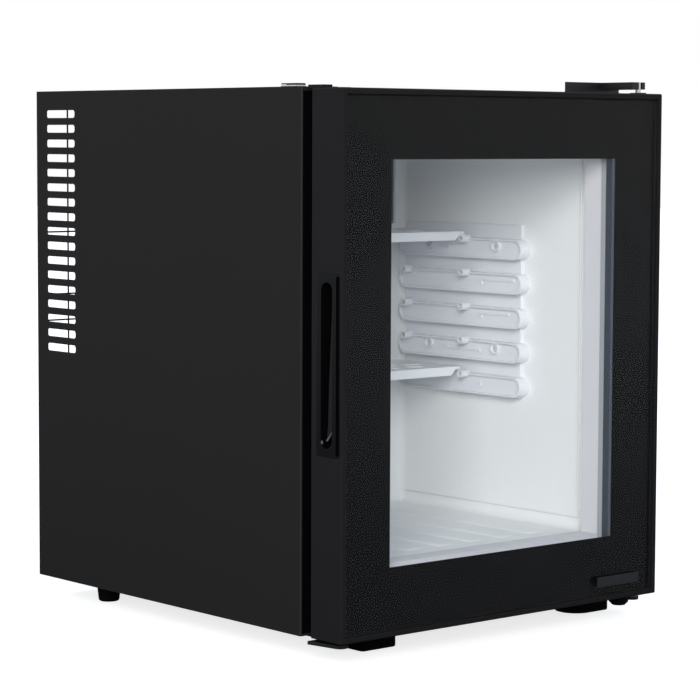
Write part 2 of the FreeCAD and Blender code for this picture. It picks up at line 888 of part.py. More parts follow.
def inner_liner():
    """The moulded inner box: a round-edged tub with a flange, a ribbed floor and raised walls."""
    tub = cavity_block("liner_tub", "cabinet_front", "liner_thickness")
    flange = box(
        "liner_flange",
        between("cabinet_left", "cabinet_right", "fold_width + liner_edge_gap"),
        ("cabinet_front", "cabinet_front + liner_thickness"),
        between("cabinet_bottom", "cabinet_top", "fold_width + liner_edge_gap"),
    )
    shell = cut(
        "liner_shell",
        fuse("liner_outer", tub, flange),
        cavity_block("liner_cavity", "cabinet_front - overrun", "0"),
        liner_borders(),
    )
    depth = ("cabinet_front + floor_strip_setback", "cavity_back - floor_strip_rear_gap")
    strips = []
    side_count = number_of("floor_strip_side_count")
    for place in range(-side_count, side_count + 1):
        middle = f"floor_strip_step * ({place})"
        strips.append(
            box(
                f"floor_strip_{len(strips) + 1}",
                (f"{middle} - floor_strip_width / 2", f"{middle} + floor_strip_width / 2"),
                depth,
                ("cavity_floor - liner_thickness / 2", "cavity_floor + floor_strip_height"),
            )
        )
    hole = pipe_hole("liner_hole", "cavity_back - overrun", "cavity_back + liner_thickness + overrun")
    screws = []
    for side in (-1, 1):
        for y, z in boss_spots():
            reach = "liner_thickness + 2 * overrun"
            x = f"({side}) * (cavity_right + liner_thickness / 2) - ({reach}) / 2"
            name = f"liner_screw_hole_{len(screws) + 1}"
            screws.append(cylinder(name, "boss_screw_radius", reach, x, y, z, "X"))
    return cut("inner_liner", fuse("liner_ribbed", shell, *strips), hole, *screws)


# Shelf rails


def shelf_rail(side):
    """One moulded wall panel with its five framed rails, shelf pegs, bosses and nubs."""
    word = "left" if side < 0 else "right"
    body = new_body(f"shelf_rail_{word}")
    wall = f"({side}) * cavity_right"
    face = f"({side}) * rail_face"
    floor = f"({side}) * (rail_face + rail_recess)"
    towards_wall = side > 0

    panel = new_sketch(body, f"{word}_rail_panel", "YZ_Plane", wall)
    rectangle(
        panel,
        ("cabinet_front + rail_plate_setback", "rail_rear"),
        ("rail_bottom_centre - rail_plate_below", "rail_top_centre + rail_plate_above"),
    )
    pad(body, panel, "rail_plate", backwards=towards_wall)

    span = "rail_pitch * (rail_count - 1)"
    start = ("rail_tip + rail_height / 2", "rail_top_centre")
    end = ("rail_rear - rail_height / 2", "rail_top_centre")
    rail = new_sketch(body, f"{word}_rail", "YZ_Plane", wall)
    racetrack(rail, start, end, "rail_height / 2")
    raised = pad(body, rail, "rail_plate + rail_proud", backwards=towards_wall)
    row_of(body, [raised], "Z_Axis", span, "rail_count", backwards=True)

    recess = new_sketch(body, f"{word}_recess", "YZ_Plane", f"{face} - ({side}) * overrun")
    racetrack(recess, start, end, "rail_height / 2 - rail_rim")
    sunk = pocket(body, recess, "rail_recess + overrun", backwards=towards_wall)
    row_of(body, [sunk], "Z_Axis", span, "rail_count", backwards=True)

    pegs = new_sketch(body, f"{word}_pegs", "YZ_Plane", floor)
    for share in ("front_peg_share", "rear_peg_share"):
        circle(pegs, along_rail(share), "rail_top_centre + peg_rise", "peg_radius")
    standing = pad(body, pegs, "rail_recess + peg_reach", backwards=towards_wall)
    row_of(body, [standing], "Z_Axis", span, "rail_count", backwards=True)

    tip = f"({side}) * (rail_face - peg_reach - overrun)"
    cups = new_sketch(body, f"{word}_cups", "YZ_Plane", tip)
    for share in ("front_peg_share", "rear_peg_share"):
        circle(cups, along_rail(share), "rail_top_centre + peg_rise", "peg_cup_radius")
    hollow = pocket(body, cups, "peg_cup_depth + overrun", backwards=towards_wall)
    row_of(body, [hollow], "Z_Axis", span, "rail_count", backwards=True)

    bosses = new_sketch(body, f"{word}_bosses", "YZ_Plane", floor)
    for y, z in boss_spots():
        circle(bosses, y, z, "boss_radius")
    pad(body, bosses, "boss_height", backwards=towards_wall)

    nubs = new_sketch(body, f"{word}_nubs", "YZ_Plane", floor)
    for rail_number in range(number_of("rail_count")):
        bossed = rail_number in (FIRST_RAIL, FOURTH_RAIL)
        share = "rear_nub_share" if bossed else "front_nub_share"
        height = f"rail_top_centre - rail_pitch * {rail_number}"
        circle(nubs, along_rail(share), height, "nub_radius")
    pad(body, nubs, "nub_height", backwards=towards_wall)

    bores = new_sketch(body, f"{word}_boss_bores", "YZ_Plane", tip)
    for y, z in boss_spots():
        circle(bores, y, z, "boss_bore_radius")
    pocket(body, bores, "peg_reach + rail_recess + overrun", backwards=towards_wall)

    holes = new_sketch(body, f"{word}_screw_holes", "YZ_Plane", tip)
    for y, z in boss_spots():
        circle(holes, y, z, "boss_screw_radius")
    pocket(body, holes, "peg_reach + rail_proud + rail_plate + overrun", backwards=towards_wall)
    return body


def along_rail(share):
    """A place along the rails, as a share of their length from the front tip."""
    return f"rail_tip + {share} * rail_length"


def number_of(word):
    return round(number(word))


def boss_spots():
    """The screw bosses stand on the first and the fourth rail."""
    return [
        (along_rail(share), f"rail_top_centre - rail_pitch * {rail_number} + boss_rise")
        for share in ("front_boss_share", "rear_boss_share")
        for rail_number in (FIRST_RAIL, FOURTH_RAIL)
    ]


def screw(name, x, y, z, along, way, head_radius, head_height, shank_radius, length):
    """A screw at the seat of its head; way is -1 where the shank runs against the axis."""
    seat = {"X": x, "Y": y, "Z": z}
    head_start = f"{seat[along]} - ({head_height})" if way > 0 else seat[along]
    shank_start = seat[along] if way > 0 else f"{seat[along]} - ({length})"
    parts = []
    for piece, start, radius, reach in (
        ("head", head_start, head_radius, head_height),
        ("shank", shank_start, shank_radius, length),
    ):
        here = dict(seat)
        here[along] = start
        parts.append(
            cylinder(f"{name}_{piece}", radius, reach, here["X"], here["Y"], here["Z"], along)
        )
    return fuse(name, *parts)


def rail_screws():
    screws = []
    for side in (-1, 1):
        for y, z in boss_spots():
            screws.append(
                screw(
                    f"rail_screw_{len(screws) + 1}",
                    f"({side}) * (rail_face + rail_recess)",
                    y,
                    z,
                    "X",
                    side,
                    "boss_screw_head_radius",
                    "boss_screw_head_height",
                    "boss_screw_radius",
                    "boss_screw_length",
                )
            )
    return compound("rail_screws", screws)


def compound(name, shapes):
    made = doc.addObject("Part::Compound", name)
    made.Links = shapes
    return made


# Shelves


def shelf(name, rear_gap, rail_number):
    """A perforated deck with a lip at its front and rear, both notched clear of the pegs."""
    body = new_body(name)
    deck = new_sketch(body, f"{name}_deck", "XY_Plane")
    rounded_rectangle(deck, ("-shelf_half", "shelf_half"), ("0", "shelf_depth"), "shelf_corner_radius")
    pad(body, deck, "shelf_deck")
    lips = (
        ("front", "shelf_lip_thickness", "shelf_lip_height"),
        ("rear", "shelf_depth", "shelf_rear_lip_height"),
    )
    for word, back, height in lips:
        lip = new_sketch(body, f"{name}_{word}_lip", "XZ_Plane", f"-({back})")
        low = f"shelf_deck - {height}"
        inner = "shelf_half - shelf_notch"
        foot = f"{inner} - ({height} - shelf_deck)"
        polygon(
            lip,
            [
                (f"-({foot})", low),
                (foot, low),
                (inner, "0"),
                (inner, "shelf_deck / 2"),
                (f"-({inner})", "shelf_deck / 2"),
                (f"-({inner})", "0"),
            ],
        )
        pad(body, lip, "shelf_lip_thickness")
    for row in range(number_of("shelf_hole_rows")):
        hole = new_sketch(body, f"{name}_hole_{row + 1}", "XY_Plane", "shelf_deck + overrun")
        stagger = "shelf_hole_step / 2" if row % 2 else "0"
        x = f"-shelf_hole_reach + {stagger}"
        y = f"shelf_hole_margin - shelf_lip_thickness + shelf_hole_row_pitch * {row}"
        reach = "(shelf_hole_length - shelf_hole_width) / 2"
        racetrack(hole, (f"{x} - {reach}", y), (f"{x} + {reach}", y), "shelf_hole_width / 2")
        opened = pocket(body, hole, "shelf_deck + 2 * overrun")
        span = "shelf_hole_step * (shelf_hole_columns - 1)"
        row_of(body, [opened], "X_Axis", span, "shelf_hole_columns")
    height = f"rail_top_centre - rail_pitch * {rail_number} + peg_rise + peg_radius"
    move_rule(body, "0", f"cavity_back - shelf_depth - {rear_gap}", height)
    return body


# Turned pieces


def turned(name, profile, x, y, z, along="Z"):
    """A body turned about its own axis from an outline of (radius, height) points."""
    body = new_body(name)
    half = new_sketch(body, f"{name}_profile", "XZ_Plane")
    polygon(half, profile)
    revolve(body, half, "Z_Axis")
    body.Placement = Placement(Vector(), AXIS_TURNS[along])
    move_rule(body, x, y, z)
    return body


def rear_foot(side):
    word = "left" if side < 0 else "right"
    body = turned(
        f"rear_foot_{word}",
        [
            ("0", "0"),
            ("rear_foot_bottom_radius - rear_foot_round", "0"),
            ("rear_foot_bottom_radius", "rear_foot_round"),
            ("rear_foot_top_radius", "foot_height"),
            ("0", "foot_height"),
        ],
        f"({side}) * (cabinet_right - rear_foot_inset)",
        "cabinet_back - rear_foot_setback",
        "0",
    )
    return body


def front_foot(word, middle, width, inner_radius, height):
    """A block foot with round corners and a rounded tread."""
    body = new_body(f"front_foot_{word}")
    tread = new_sketch(body, f"{word}_tread", "XY_Plane")
    front = "cabinet_front + front_foot_setback"
    low, high = f"{middle} - {width} / 2", f"{middle} + {width} / 2"
    rectangle(tread, (low, high), (front, f"{front} + front_foot_depth"))
    pad(body, tread, height)
    low_x = number(low)

    def inner_corner(edge):
        return runs_along("Z")(edge) and near(edge.CenterOfMass.x, low_x)

    round_body(body, f"{word}_inner_corners", inner_radius, inner_corner)
    high_x = number(high)

    def outer_corner(edge):
        return runs_along("Z")(edge) and near(edge.CenterOfMass.x, high_x)

    round_body(body, f"{word}_outer_corners", "front_foot_radius", outer_corner)

    def at_the_tread(edge):
        return near(edge.BoundBox.ZMax, 0)

    round_body(body, f"{word}_tread_edge", "front_foot_round", at_the_tread)
    return body


# Door


def door_block(name, inset, end_inset, front, back):
    return box(
        name,
        between("cabinet_left", "cabinet_right", inset),
        (front, back),
        between("door_bottom", "door_top", end_inset),
    )


def door_ring(name, outer, inner, front, back):
    """A rectangular ring in the door's plane; outer and inner are (side, end) insets."""
    block = door_block(f"{name}_block", outer[0], outer[1], front, back)
    hollow = door_block(
        f"{name}_hollow", inner[0], inner[1], f"{front} - overrun", f"{back} + overrun"
    )
    return cut(name, block, hollow)


WINDOW = ("window_side_border", "window_end_border")
PANE = ("(window_side_border - pane_margin)", "(window_end_border - pane_margin)")
PANE_SEAT = (
    "(window_side_border - pane_margin - pane_clearance)",
    "(window_end_border - pane_margin - pane_clearance)",
)
GLASS_INSET = "(frame_lip + glass_groove)"
GRIP_STEPS = (
    ("flange", "grip_front_inset", "grip_flange"),
    ("inner", "grip_inner_inset", "grip_depth"),
)


def door_frame():
    block = door_block("frame_block", "0", "0", "door_front", "door_back")
    back_y = number("door_back")

    def off_the_back(edge):
        return edge.BoundBox.YMin < back_y - TOUCH

    rounded = round_edges("frame_rounded", block, "door_edge_radius", off_the_back)
    recess = door_block("frame_recess", "frame_lip", "frame_lip", "door_front - overrun", "print_back")
    opening = door_block("frame_opening", *PANE_SEAT, "door_front", "door_back + overrun")
    pockets = []
    for word, inset, depth in GRIP_STEPS:
        blank = box(
            f"frame_{word}_blank",
            ("cabinet_left - overrun", f"cabinet_left + {depth}"),
            (
                f"door_front + {inset} - grip_clearance",
                "door_front + grip_front_inset + grip_width + grip_clearance",
            ),
            ("grip_top - grip_height - grip_clearance", "grip_top + grip_clearance"),
        )
        radius = "grip_corner_radius + grip_clearance"
        pockets.append(round_edges(f"frame_{word}_pocket", blank, radius, runs_along("X")))
    top_bore = cylinder(
        "frame_top_bore", "bush_radius", "bush_depth + overrun", "hinge_x", "hinge_y",
        "door_top - bush_depth",
    )
    bottom_bore = cylinder(
        "frame_bottom_bore", "bush_radius", "bush_depth + overrun", "hinge_x", "hinge_y",
        "door_bottom - overrun",
    )
    spare_bore = cylinder(
        "frame_spare_bore", "bush_radius", "bush_depth + overrun", "-hinge_x", "hinge_y",
        "door_top - bush_depth",
    )
    return cut(
        "door_frame", rounded, recess, opening, *pockets, top_bore, bottom_bore, spare_bore
    )


def door_liner():
    """The white inner trim: a sleeve through the window and a flat on the door's back."""
    sleeve = door_ring("liner_sleeve", PANE, WINDOW, "bead_back", "door_liner_back")
    inset = "(gasket_inner_inset + gasket_clearance)"
    flat = door_ring(
        "liner_flat", (inset, inset), WINDOW, "door_back", "door_back + door_liner_sheet"
    )
    return fuse("door_liner", sleeve, flat)


def door_gasket():
    """The seal: a foot on the door, a narrow neck and a head that holds the magnet strip."""
    outer = ("gasket_inset", "gasket_inset")
    inner = ("gasket_inner_inset", "gasket_inner_inset")
    neck_outer = ("(gasket_inset + gasket_neck_inset)",) * 2
    neck_inner = ("(gasket_inner_inset - gasket_neck_inset)",) * 2
    foot = door_ring("gasket_foot", outer, inner, "door_back", "gasket_neck_front")
    neck = door_ring("gasket_neck", neck_outer, neck_inner, "gasket_neck_front", "gasket_head_front")
    head = door_ring("gasket_head", outer, inner, "gasket_head_front", "gasket_back")
    middle = "(gasket_inset + gasket_width / 2)"
    half = "(magnet_width / 2 + magnet_clearance)"
    channel_outer = (f"({middle} - {half})",) * 2
    channel_inner = (f"({middle} + {half})",) * 2
    channel = door_ring(
        "gasket_channel",
        channel_outer,
        channel_inner,
        "magnet_front - magnet_clearance",
        "magnet_front + magnet_thickness + magnet_clearance",
    )
    return cut("door_gasket", fuse("gasket_profile", foot, neck, head), channel)


def gasket_magnets():
    middle = "(gasket_inset + gasket_width / 2)"
    depth = ("magnet_front", "magnet_front + magnet_thickness")
    low, high = f"{middle} - magnet_width / 2", f"{middle} + magnet_width / 2"
    strips = []
    for word, start in (("left", f"cabinet_left + {low}"), ("right", f"cabinet_right - ({high})")):
        strips.append(
            box(
                f"magnet_{word}",
                (start, f"{start} + magnet_width"),
                depth,
                (f"door_bottom + {low}", f"door_top - ({low})"),
            )
        )
    gap = f"({high} + magnet_clearance)"
    for word, start in (("bottom", f"door_bottom + {low}"), ("top", f"door_top - ({high})")):
        strips.append(
            box(
                f"magnet_{word}",
                (f"cabinet_left + {gap}", f"cabinet_right - {gap}"),
                depth,
                (start, f"{start} + magnet_width"),
            )
        )
    return compound("gasket_magnets", strips)


def handle_grip():
    """The finger grip let into the door's free edge, with a deep scoop and a slit beside it."""
    body = new_body("handle_grip")
    back = "door_front + grip_front_inset + grip_width"
    for word, inset, depth in GRIP_STEPS:
        step = new_sketch(body, f"grip_{word}", "YZ_Plane", "cabinet_left")
        rounded_rectangle(
            step,
            (f"door_front + {inset}", back),
            ("grip_top - grip_height", "grip_top"),
            "grip_corner_radius",
        )
        pad(body, step, depth)
    for word in ("slit", "scoop"):
        hollow = new_sketch(body, f"grip_{word}", "YZ_Plane", "cabinet_left - overrun")
        reach = f"({word}_height - {word}_width) / 2"
        y = f"door_front + {word}_inset"
        racetrack(
            hollow, (y, f"grip_middle - {reach}"), (y, f"grip_middle + {reach}"), f"{word}_width / 2"
        )
        pocket(body, hollow, f"{word}_depth + overrun", backwards=True)
    floor_x = number("cabinet_left + scoop_depth")

    def on_the_floor(edge):
        return near(edge.BoundBox.XMin, floor_x) and near(edge.BoundBox.XMax, floor_x)

    round_body(body, "grip_scoop_floor", "scoop_floor_radius", on_the_floor)
    return body


def badge_plate():
    right = "cabinet_right - badge_side_inset"
    low = "door_bottom + badge_lift"
    return box(
        "badge_plate", (f"{right} - badge_width", right), ("door_front", "glass_front"),
        (low, f"{low} + badge_height"),
    )


# Hinges


def top_base(name, low, thickness):
    """The foot of the top hinge: its free side runs slanting back from the front edge."""
    body = new_body(name)
    plan = new_sketch(body, f"{name}_plan", "XY_Plane", low)
    rear = "cabinet_front + top_base_depth"
    polygon(
        plan,
        [
            ("top_base_right", "cabinet_front"),
            ("top_base_right", rear),
            ("top_base_right - top_base_rear_width", rear),
            ("top_base_right - top_base_width", "cabinet_front"),
        ],
    )
    pad(body, plan, thickness)
    return body


def top_hinge_shim():
    plate = top_base("shim_plate", "cabinet_top", "top_shim_thickness")
    holes = screw_holes("shim_hole", top_screw_spots(), "cabinet_top - overrun", "arm_bottom + overrun")
    return cut("top_hinge_shim", plate, *holes)


def top_hinge_arm():
    """The bar on the cabinet's top whose nose reaches over the door and clips round the pin."""
    height = ("arm_bottom", "arm_top")
    base = top_base("arm_base", "arm_bottom", "top_arm_thickness")
    nose = box(
        "arm_nose",
        ("hinge_x - top_arm_left", "hinge_x + top_arm_right"),
        ("hinge_y - top_arm_nose", "cabinet_front"),
        height,
    )
    bar = fuse("arm_bar", base, nose)
    bore = cylinder(
        "arm_bore", "hinge_pin_radius", "top_arm_thickness + 2 * overrun", "hinge_x", "hinge_y",
        "arm_bottom - overrun",
    )
    mouth = box(
        "arm_mouth",
        ("hinge_x - top_arm_mouth / 2", "hinge_x + top_arm_mouth / 2"),
        ("hinge_y - top_arm_nose - overrun", "hinge_y"),
        ("arm_bottom - overrun", "arm_top + overrun"),
    )
    holes = screw_holes("arm_hole", top_screw_spots(), "arm_bottom - overrun", "arm_top + overrun")
    for k, (x, y) in enumerate(top_screw_spots(), start=1):
        seat = "arm_top - screw_head_height"
        sunk = "screw_head_height + overrun"
        holes.append(cylinder(f"arm_sunk_{k}", "screw_head_radius", sunk, x, y, seat))
    return cut("top_hinge_arm", bar, bore, mouth, *holes)


def top_hinge_pin():
    reach = "arm_top - (door_top - bush_depth + pin_tip_gap)"
    return cylinder(
        "top_hinge_pin", "hinge_pin_radius", reach, "hinge_x", "hinge_y",
        "door_top - bush_depth + pin_tip_gap",
    )


def door_bush(name, pin_radius, z, way):
    """A flanged bush let into the door; way points into the door."""
    bore = f"{pin_radius} + hinge_running_clearance"
    inner = f"({way}) * bush_depth"
    outer = f"({-way}) * bush_flange"
    profile = [
        (bore, outer),
        ("bush_flange_radius", outer),
        ("bush_flange_radius", "0"),
        ("bush_radius", "0"),
        ("bush_radius", inner),
        (bore, inner),
    ]
    return turned(name, profile, "hinge_x", "hinge_y", z)


def bottom_hinge_pin():
    """The lower pin: a shoulder on the plate carries the door's bush."""
    seat = "plate_bottom + plate_thickness"
    shoulder = "door_bottom - bush_flange - pin_shoulder_gap"
    profile = [
        ("0", "plate_bottom"),
        ("bottom_pin_radius", "plate_bottom"),
        ("bottom_pin_radius", seat),
        ("pin_shoulder_radius", seat),
        ("pin_shoulder_radius", shoulder),
        ("bottom_pin_radius", shoulder),
        ("bottom_pin_radius", "door_bottom + bush_depth - pin_tip_gap"),
        ("0", "door_bottom + bush_depth - pin_tip_gap"),
    ]
    return turned("bottom_hinge_pin", profile, "hinge_x", "hinge_y", "0")


def bottom_plate(name, side):
    """A cranked plate under the cabinet whose arm tapers to a round nose on the hinge line."""
    strip = new_body(f"{name}_strip")
    edge = new_sketch(strip, f"{name}_crank", "YZ_Plane", f"({side}) * cabinet_width / 2")
    crank = "cabinet_front + front_foot_setback"
    bend = f"{crank} - plate_joggle"
    rear = "cabinet_front + plate_depth"
    nose = "hinge_y - plate_nose_radius"
    arm_top_z = "plate_bottom + plate_thickness"
    polygon(
        edge,
        [
            (nose, "plate_bottom"),
            (bend, "plate_bottom"),
            (crank, "plate_seat"),
            (rear, "plate_seat"),
            (rear, "cabinet_bottom"),
            (crank, "cabinet_bottom"),
            (bend, arm_top_z),
            (nose, arm_top_z),
        ],
    )
    pad(strip, edge, "cabinet_width / 2", backwards=side > 0)

    plan = new_body(f"{name}_plan")
    shape = new_sketch(plan, f"{name}_outline", "XY_Plane", "plate_bottom - overrun")
    corner = "cabinet_front - plate_neck_setback"
    points = [
        ("hinge_x + plate_nose_radius", "hinge_y"),
        ("plate_outer", corner),
        ("plate_base_outer", corner),
        ("plate_base_outer", rear),
        ("plate_outer - plate_width", rear),
        ("plate_outer - plate_width", crank),
        ("plate_outer - plate_neck_width", corner),
        ("hinge_x - plate_nose_radius", "hinge_y"),
    ]
    polygon(shape, [(f"({side}) * ({x})", y) for x, y in points])
    deep = "plate_drop + plate_thickness + 2 * overrun"
    pad(plan, shape, deep)
    tip = new_sketch(plan, f"{name}_tip", "XY_Plane", "plate_bottom - overrun")
    circle(tip, f"({side}) * hinge_x", "hinge_y", "plate_nose_radius")
    pad(plan, tip, deep)

    trimmed = doc.addObject("Part::Common", f"{name}_trimmed")
    trimmed.Base = strip
    trimmed.Tool = plan
    bore = cylinder(
        f"{name}_bore", "bottom_pin_radius", "plate_thickness + 2 * overrun",
        f"({side}) * hinge_x", "hinge_y", "plate_bottom - overrun",
    )
    holes = screw_holes(
        f"{name}_hole", plate_screw_spots(side), "plate_seat - overrun", "cabinet_bottom + overrun"
    )
    return cut(name, trimmed, bore, *holes)


def hinge_screws():
    sizes = ("screw_head_radius", "screw_head_height", "screw_shank_radius")
    screws = []
    for x, y in top_screw_spots():
        name = f"hinge_screw_{len(screws) + 1}"
        length = "screw_length + top_arm_thickness - screw_head_height"
        seat = "arm_top - screw_head_height"
        screws.append(screw(name, x, y, seat, "Z", -1, *sizes, length))
    for x, y in plate_screw_spots(1) + plate_screw_spots(-1):
        name = f"hinge_screw_{len(screws) + 1}"
        screws.append(screw(name, x, y, "plate_seat", "Z", 1, *sizes, "screw_length"))
    return compound("hinge_screws", screws)


def door_stop_button():
    profile = [
        ("0", "-stop_height"),
        ("stop_radius - stop_round", "-stop_height"),
        ("stop_radius", "stop_round - stop_height"),
        ("stop_radius", "0"),
        ("0", "0"),
    ]
    return turned("door_stop_button", profile, "hinge_x - stop_inset", "hinge_y", "door_bottom")


def spare_hinge_cover():
    """The low bridge over the unused hinge holes on the cabinet's free side."""
    x = ("cabinet_left + spare_cover_inset", "cabinet_left + spare_cover_inset + spare_cover_width")
    start = "cabinet_front + spare_cover_setback"
    deck_z = ("cabinet_top + spare_cover_rise", "cabinet_top + spare_cover_rise + spare_cover_sheet")
    deck = box("spare_cover_deck", x, (start, f"{start} + spare_cover_length"), deck_z)
    feet = []
    rear = f"{start} + spare_cover_length - spare_cover_tail - spare_cover_foot"
    for word, y in (("front", start), ("rear", rear)):
        z = ("cabinet_top", "cabinet_top + spare_cover_rise")
        feet.append(box(f"spare_cover_foot_{word}", x, (y, f"{y} + spare_cover_foot"), z))
    return fuse("spare_hinge_cover", deck, *feet)


def spare_bush_cover():
    """The cap at the door's free corner, with a flat plug in the unused bush hole."""
    x = ("cabinet_left + spare_cover_inset", "cabinet_left + spare_cover_inset + bush_cover_width")
    front = "door_front + bush_cover_front"
    back = "door_back + bush_cover_reach"
    cap = box("bush_cover_cap", x, (front, back), ("door_top", "door_top + bush_cover_height"))
    tongue = box(
        "bush_cover_tongue", x, (f"{front} - bush_cover_step", front),
        ("door_top", "door_top + bush_cover_tongue"),
    )
    plug = cylinder(
        "bush_cover_plug", "bush_plug_radius", "bush_plug_flange", "-hinge_x", "hinge_y", "door_top"
    )
    stud = cylinder(
        "bush_cover_stud", "bush_radius - grip_clearance", "bush_depth / 2", "-hinge_x", "hinge_y",
        "door_top - bush_depth / 2",
    )
    return fuse("spare_bush_cover", cap, tongue, plug, stud)


def front_glass():
    return door_block("front_glass", GLASS_INSET, GLASS_INSET, "glass_front", "glass_back")


def glass_print():
    return door_ring("glass_print", (GLASS_INSET, GLASS_INSET), WINDOW, "glass_back", "print_back")


def glass_spacer():
    return door_ring("glass_spacer", PANE, WINDOW, "print_back", "rear_glass_front")


def rear_glass():
    return door_block("rear_glass", *PANE, "rear_glass_front", "rear_glass_back")


def glass_bead():
    return door_ring("glass_bead", PANE, WINDOW, "rear_glass_back", "bead_back")


# Cooling unit


def evaporator_fins():
    """The cold plate on the inner box's rear wall with its upright fins."""
    body = new_body("evaporator_fins")
    plate = new_sketch(body, "evaporator_plate", "XZ_Plane", "-cavity_back")
    height = ("evaporator_bottom", "evaporator_bottom + evaporator_height")
    rectangle(plate, ("-evaporator_half", "evaporator_half"), height)
    pad(body, plate, "evaporator_plate")
    fin = new_sketch(body, "evaporator_fin", "XZ_Plane", "-cavity_back")
    first = "fin_edge_gap - evaporator_half"
    rectangle(fin, (f"{first} - fin_thickness / 2", f"{first} + fin_thickness / 2"), height)
    raised = pad(body, fin, "evaporator_plate + fin_reach")
    row_of(body, [raised], "X_Axis", "fin_step * (fin_count - 1)", "fin_count")
    return body


def unit_cylinder(name, radius, length, x, z, along="Z"):
    return cylinder(name, radius, length, x, "unit_y", z, along)


def exchanger_tube(name):
    return unit_cylinder(
        name, "exchanger_radius", "exchanger_top - vessel_height", "exchanger_x", "vessel_height"
    )


def vessel_tank(name):
    body = unit_cylinder(
        f"{name}_drum",
        "vessel_radius",
        "vessel_length",
        "vessel_left",
        "vessel_height",
        "X",
    )

    def end_ring(edge):
        return near(edge.BoundBox.XLength, 0)

    return round_edges(name, body, "vessel_dome", end_ring)


def boiler_jacket(name):
    drum = unit_cylinder(
        f"{name}_drum", "boiler_radius", "boiler_top - boiler_bottom", "boiler_x", "boiler_bottom"
    )
    cap = unit_cylinder(
        f"{name}_cap", "boiler_cap_radius", "boiler_cap_height", "boiler_x", "boiler_top"
    )
    return fuse(name, drum, cap)


def gas_heat_exchanger():
    return cut("gas_heat_exchanger", exchanger_tube("exchanger_column"), vessel_tank("exchanger_seat"))


def evaporator_pipe():
    pipe = cylinder(
        "evaporator_pipe_run",
        "evaporator_pipe_radius",
        "unit_y - cavity_back",
        "exchanger_x",
        "cavity_back",
        "evaporator_pipe_z",
        "Y",
    )
    return cut("evaporator_pipe", pipe, exchanger_tube("pipe_seat"))


def boiler_housing():
    bore = unit_cylinder(
        "heater_bore",
        "heater_radius + heater_clearance",
        "heater_length - heater_exposed + heater_clearance",
        "boiler_x + heater_offset",
        "boiler_bottom",
    )
    return cut("boiler_housing", boiler_jacket("boiler_jacket"), bore)


def heater_cartridge():
    return unit_cylinder(
        "heater_cartridge",
        "heater_radius",
        "heater_length",
        "boiler_x + heater_offset",
        "boiler_bottom - heater_exposed",
    )


def solution_pipe():
    """The short pipe between the vessel and the boiler."""
    run = unit_cylinder(
        "solution_run",
        "pipe_radius",
        "boiler_x - vessel_right + vessel_dome",
        "vessel_right - vessel_dome",
        "vessel_height + solution_rise",
        "X",
    )
    return cut(
        "solution_pipe", run, vessel_tank("solution_vessel_seat"), boiler_jacket("solution_boiler_seat")
    )


def spot(x, z):
    return Vector(number(x), number("unit_y"), number(z))


def tube_shape(points, radius, bend):
    """A round bar along straight runs with equal bends between them."""
    pieces = []
    start = points[0]
    for before, corner, after in zip(points, points[1:], points[2:]):
        back = (before - corner).normalize()
        ahead = (after - corner).normalize()
        turn = math.pi - back.getAngle(ahead)
        reach = bend * math.tan(turn / 2)
        middle = corner + (back + ahead).normalize() * (bend / math.cos(turn / 2))
        arc_start = corner + back * reach
        run = start.distanceToPoint(arc_start)
        if not near(run, 0):
            pieces.append(Part.makeCylinder(radius, run, start, back * -1))
        ring = Part.Face(Part.Wire([Part.Circle(arc_start, back, radius).toShape()]))
        pieces.append(ring.revolve(middle, ahead.cross(back), math.degrees(turn)))
        start = corner + ahead * reach
    run = start.distanceToPoint(points[-1])
    pieces.append(Part.makeCylinder(radius, run, start, points[-1] - start))
    return pieces[0].multiFuse(pieces[1:]).removeSplitter()


def absorber_coil():
    """The serpentine that climbs from the vessel to the exchanger."""
    right = "coil_right"
    left = "coil_left"
    points = [spot(right, "vessel_height")]
    runs = number_of("absorber_runs")
    for run in range(runs):
        height = f"coil_bottom + coil_step * {run}"
        starts_right = run % 2 == 0
        points.append(spot(right if starts_right else left, height))
        last = run == runs - 1
        points.append(spot("exchanger_x" if last else left if starts_right else right, height))
    coil = fixed_shape(
        "coil_run", tube_shape(points, number("absorber_pipe_radius"), number("coil_step / 2"))
    )
    return cut("absorber_coil", coil, vessel_tank("coil_vessel_seat"), exchanger_tube("coil_seat"))


def condenser_tube():
    points = [
        spot("boiler_x", "boiler_top + boiler_cap_height"),
        spot("boiler_x", "condenser_z"),
        spot("exchanger_x", "condenser_z"),
        spot("exchanger_x", "exchanger_top"),
    ]
    return fixed_shape(
        "condenser_tube", tube_shape(points, number("pipe_radius"), number("pipe_bend"))
    )


def condenser_fins():
    """The row of plates round the condenser tube."""
    body = new_body("condenser_fins")
    plate = new_sketch(body, "condenser_fin", "YZ_Plane", "condenser_fin_first")
    rectangle(
        plate,
        ("unit_y - condenser_fin_width / 2", "unit_y + condenser_fin_width / 2"),
        (
            "condenser_z - condenser_fin_height / 2",
            "condenser_z + condenser_fin_height / 2",
        ),
    )
    circle(plate, "unit_y", "condenser_z", "pipe_radius")
    pad(body, plate, "condenser_fin_thickness")
    doc.recompute()
    fins = [body]
    for place in range(1, number_of("condenser_fin_count")):
        twin = doc.addObject("Part::Feature", f"condenser_fin_{place + 1}")
        twin.Shape = body.Shape
        move_rule(twin, f"-condenser_fin_step * {place}")
        fins.append(twin)
    return compound("condenser_fin_row", fins)


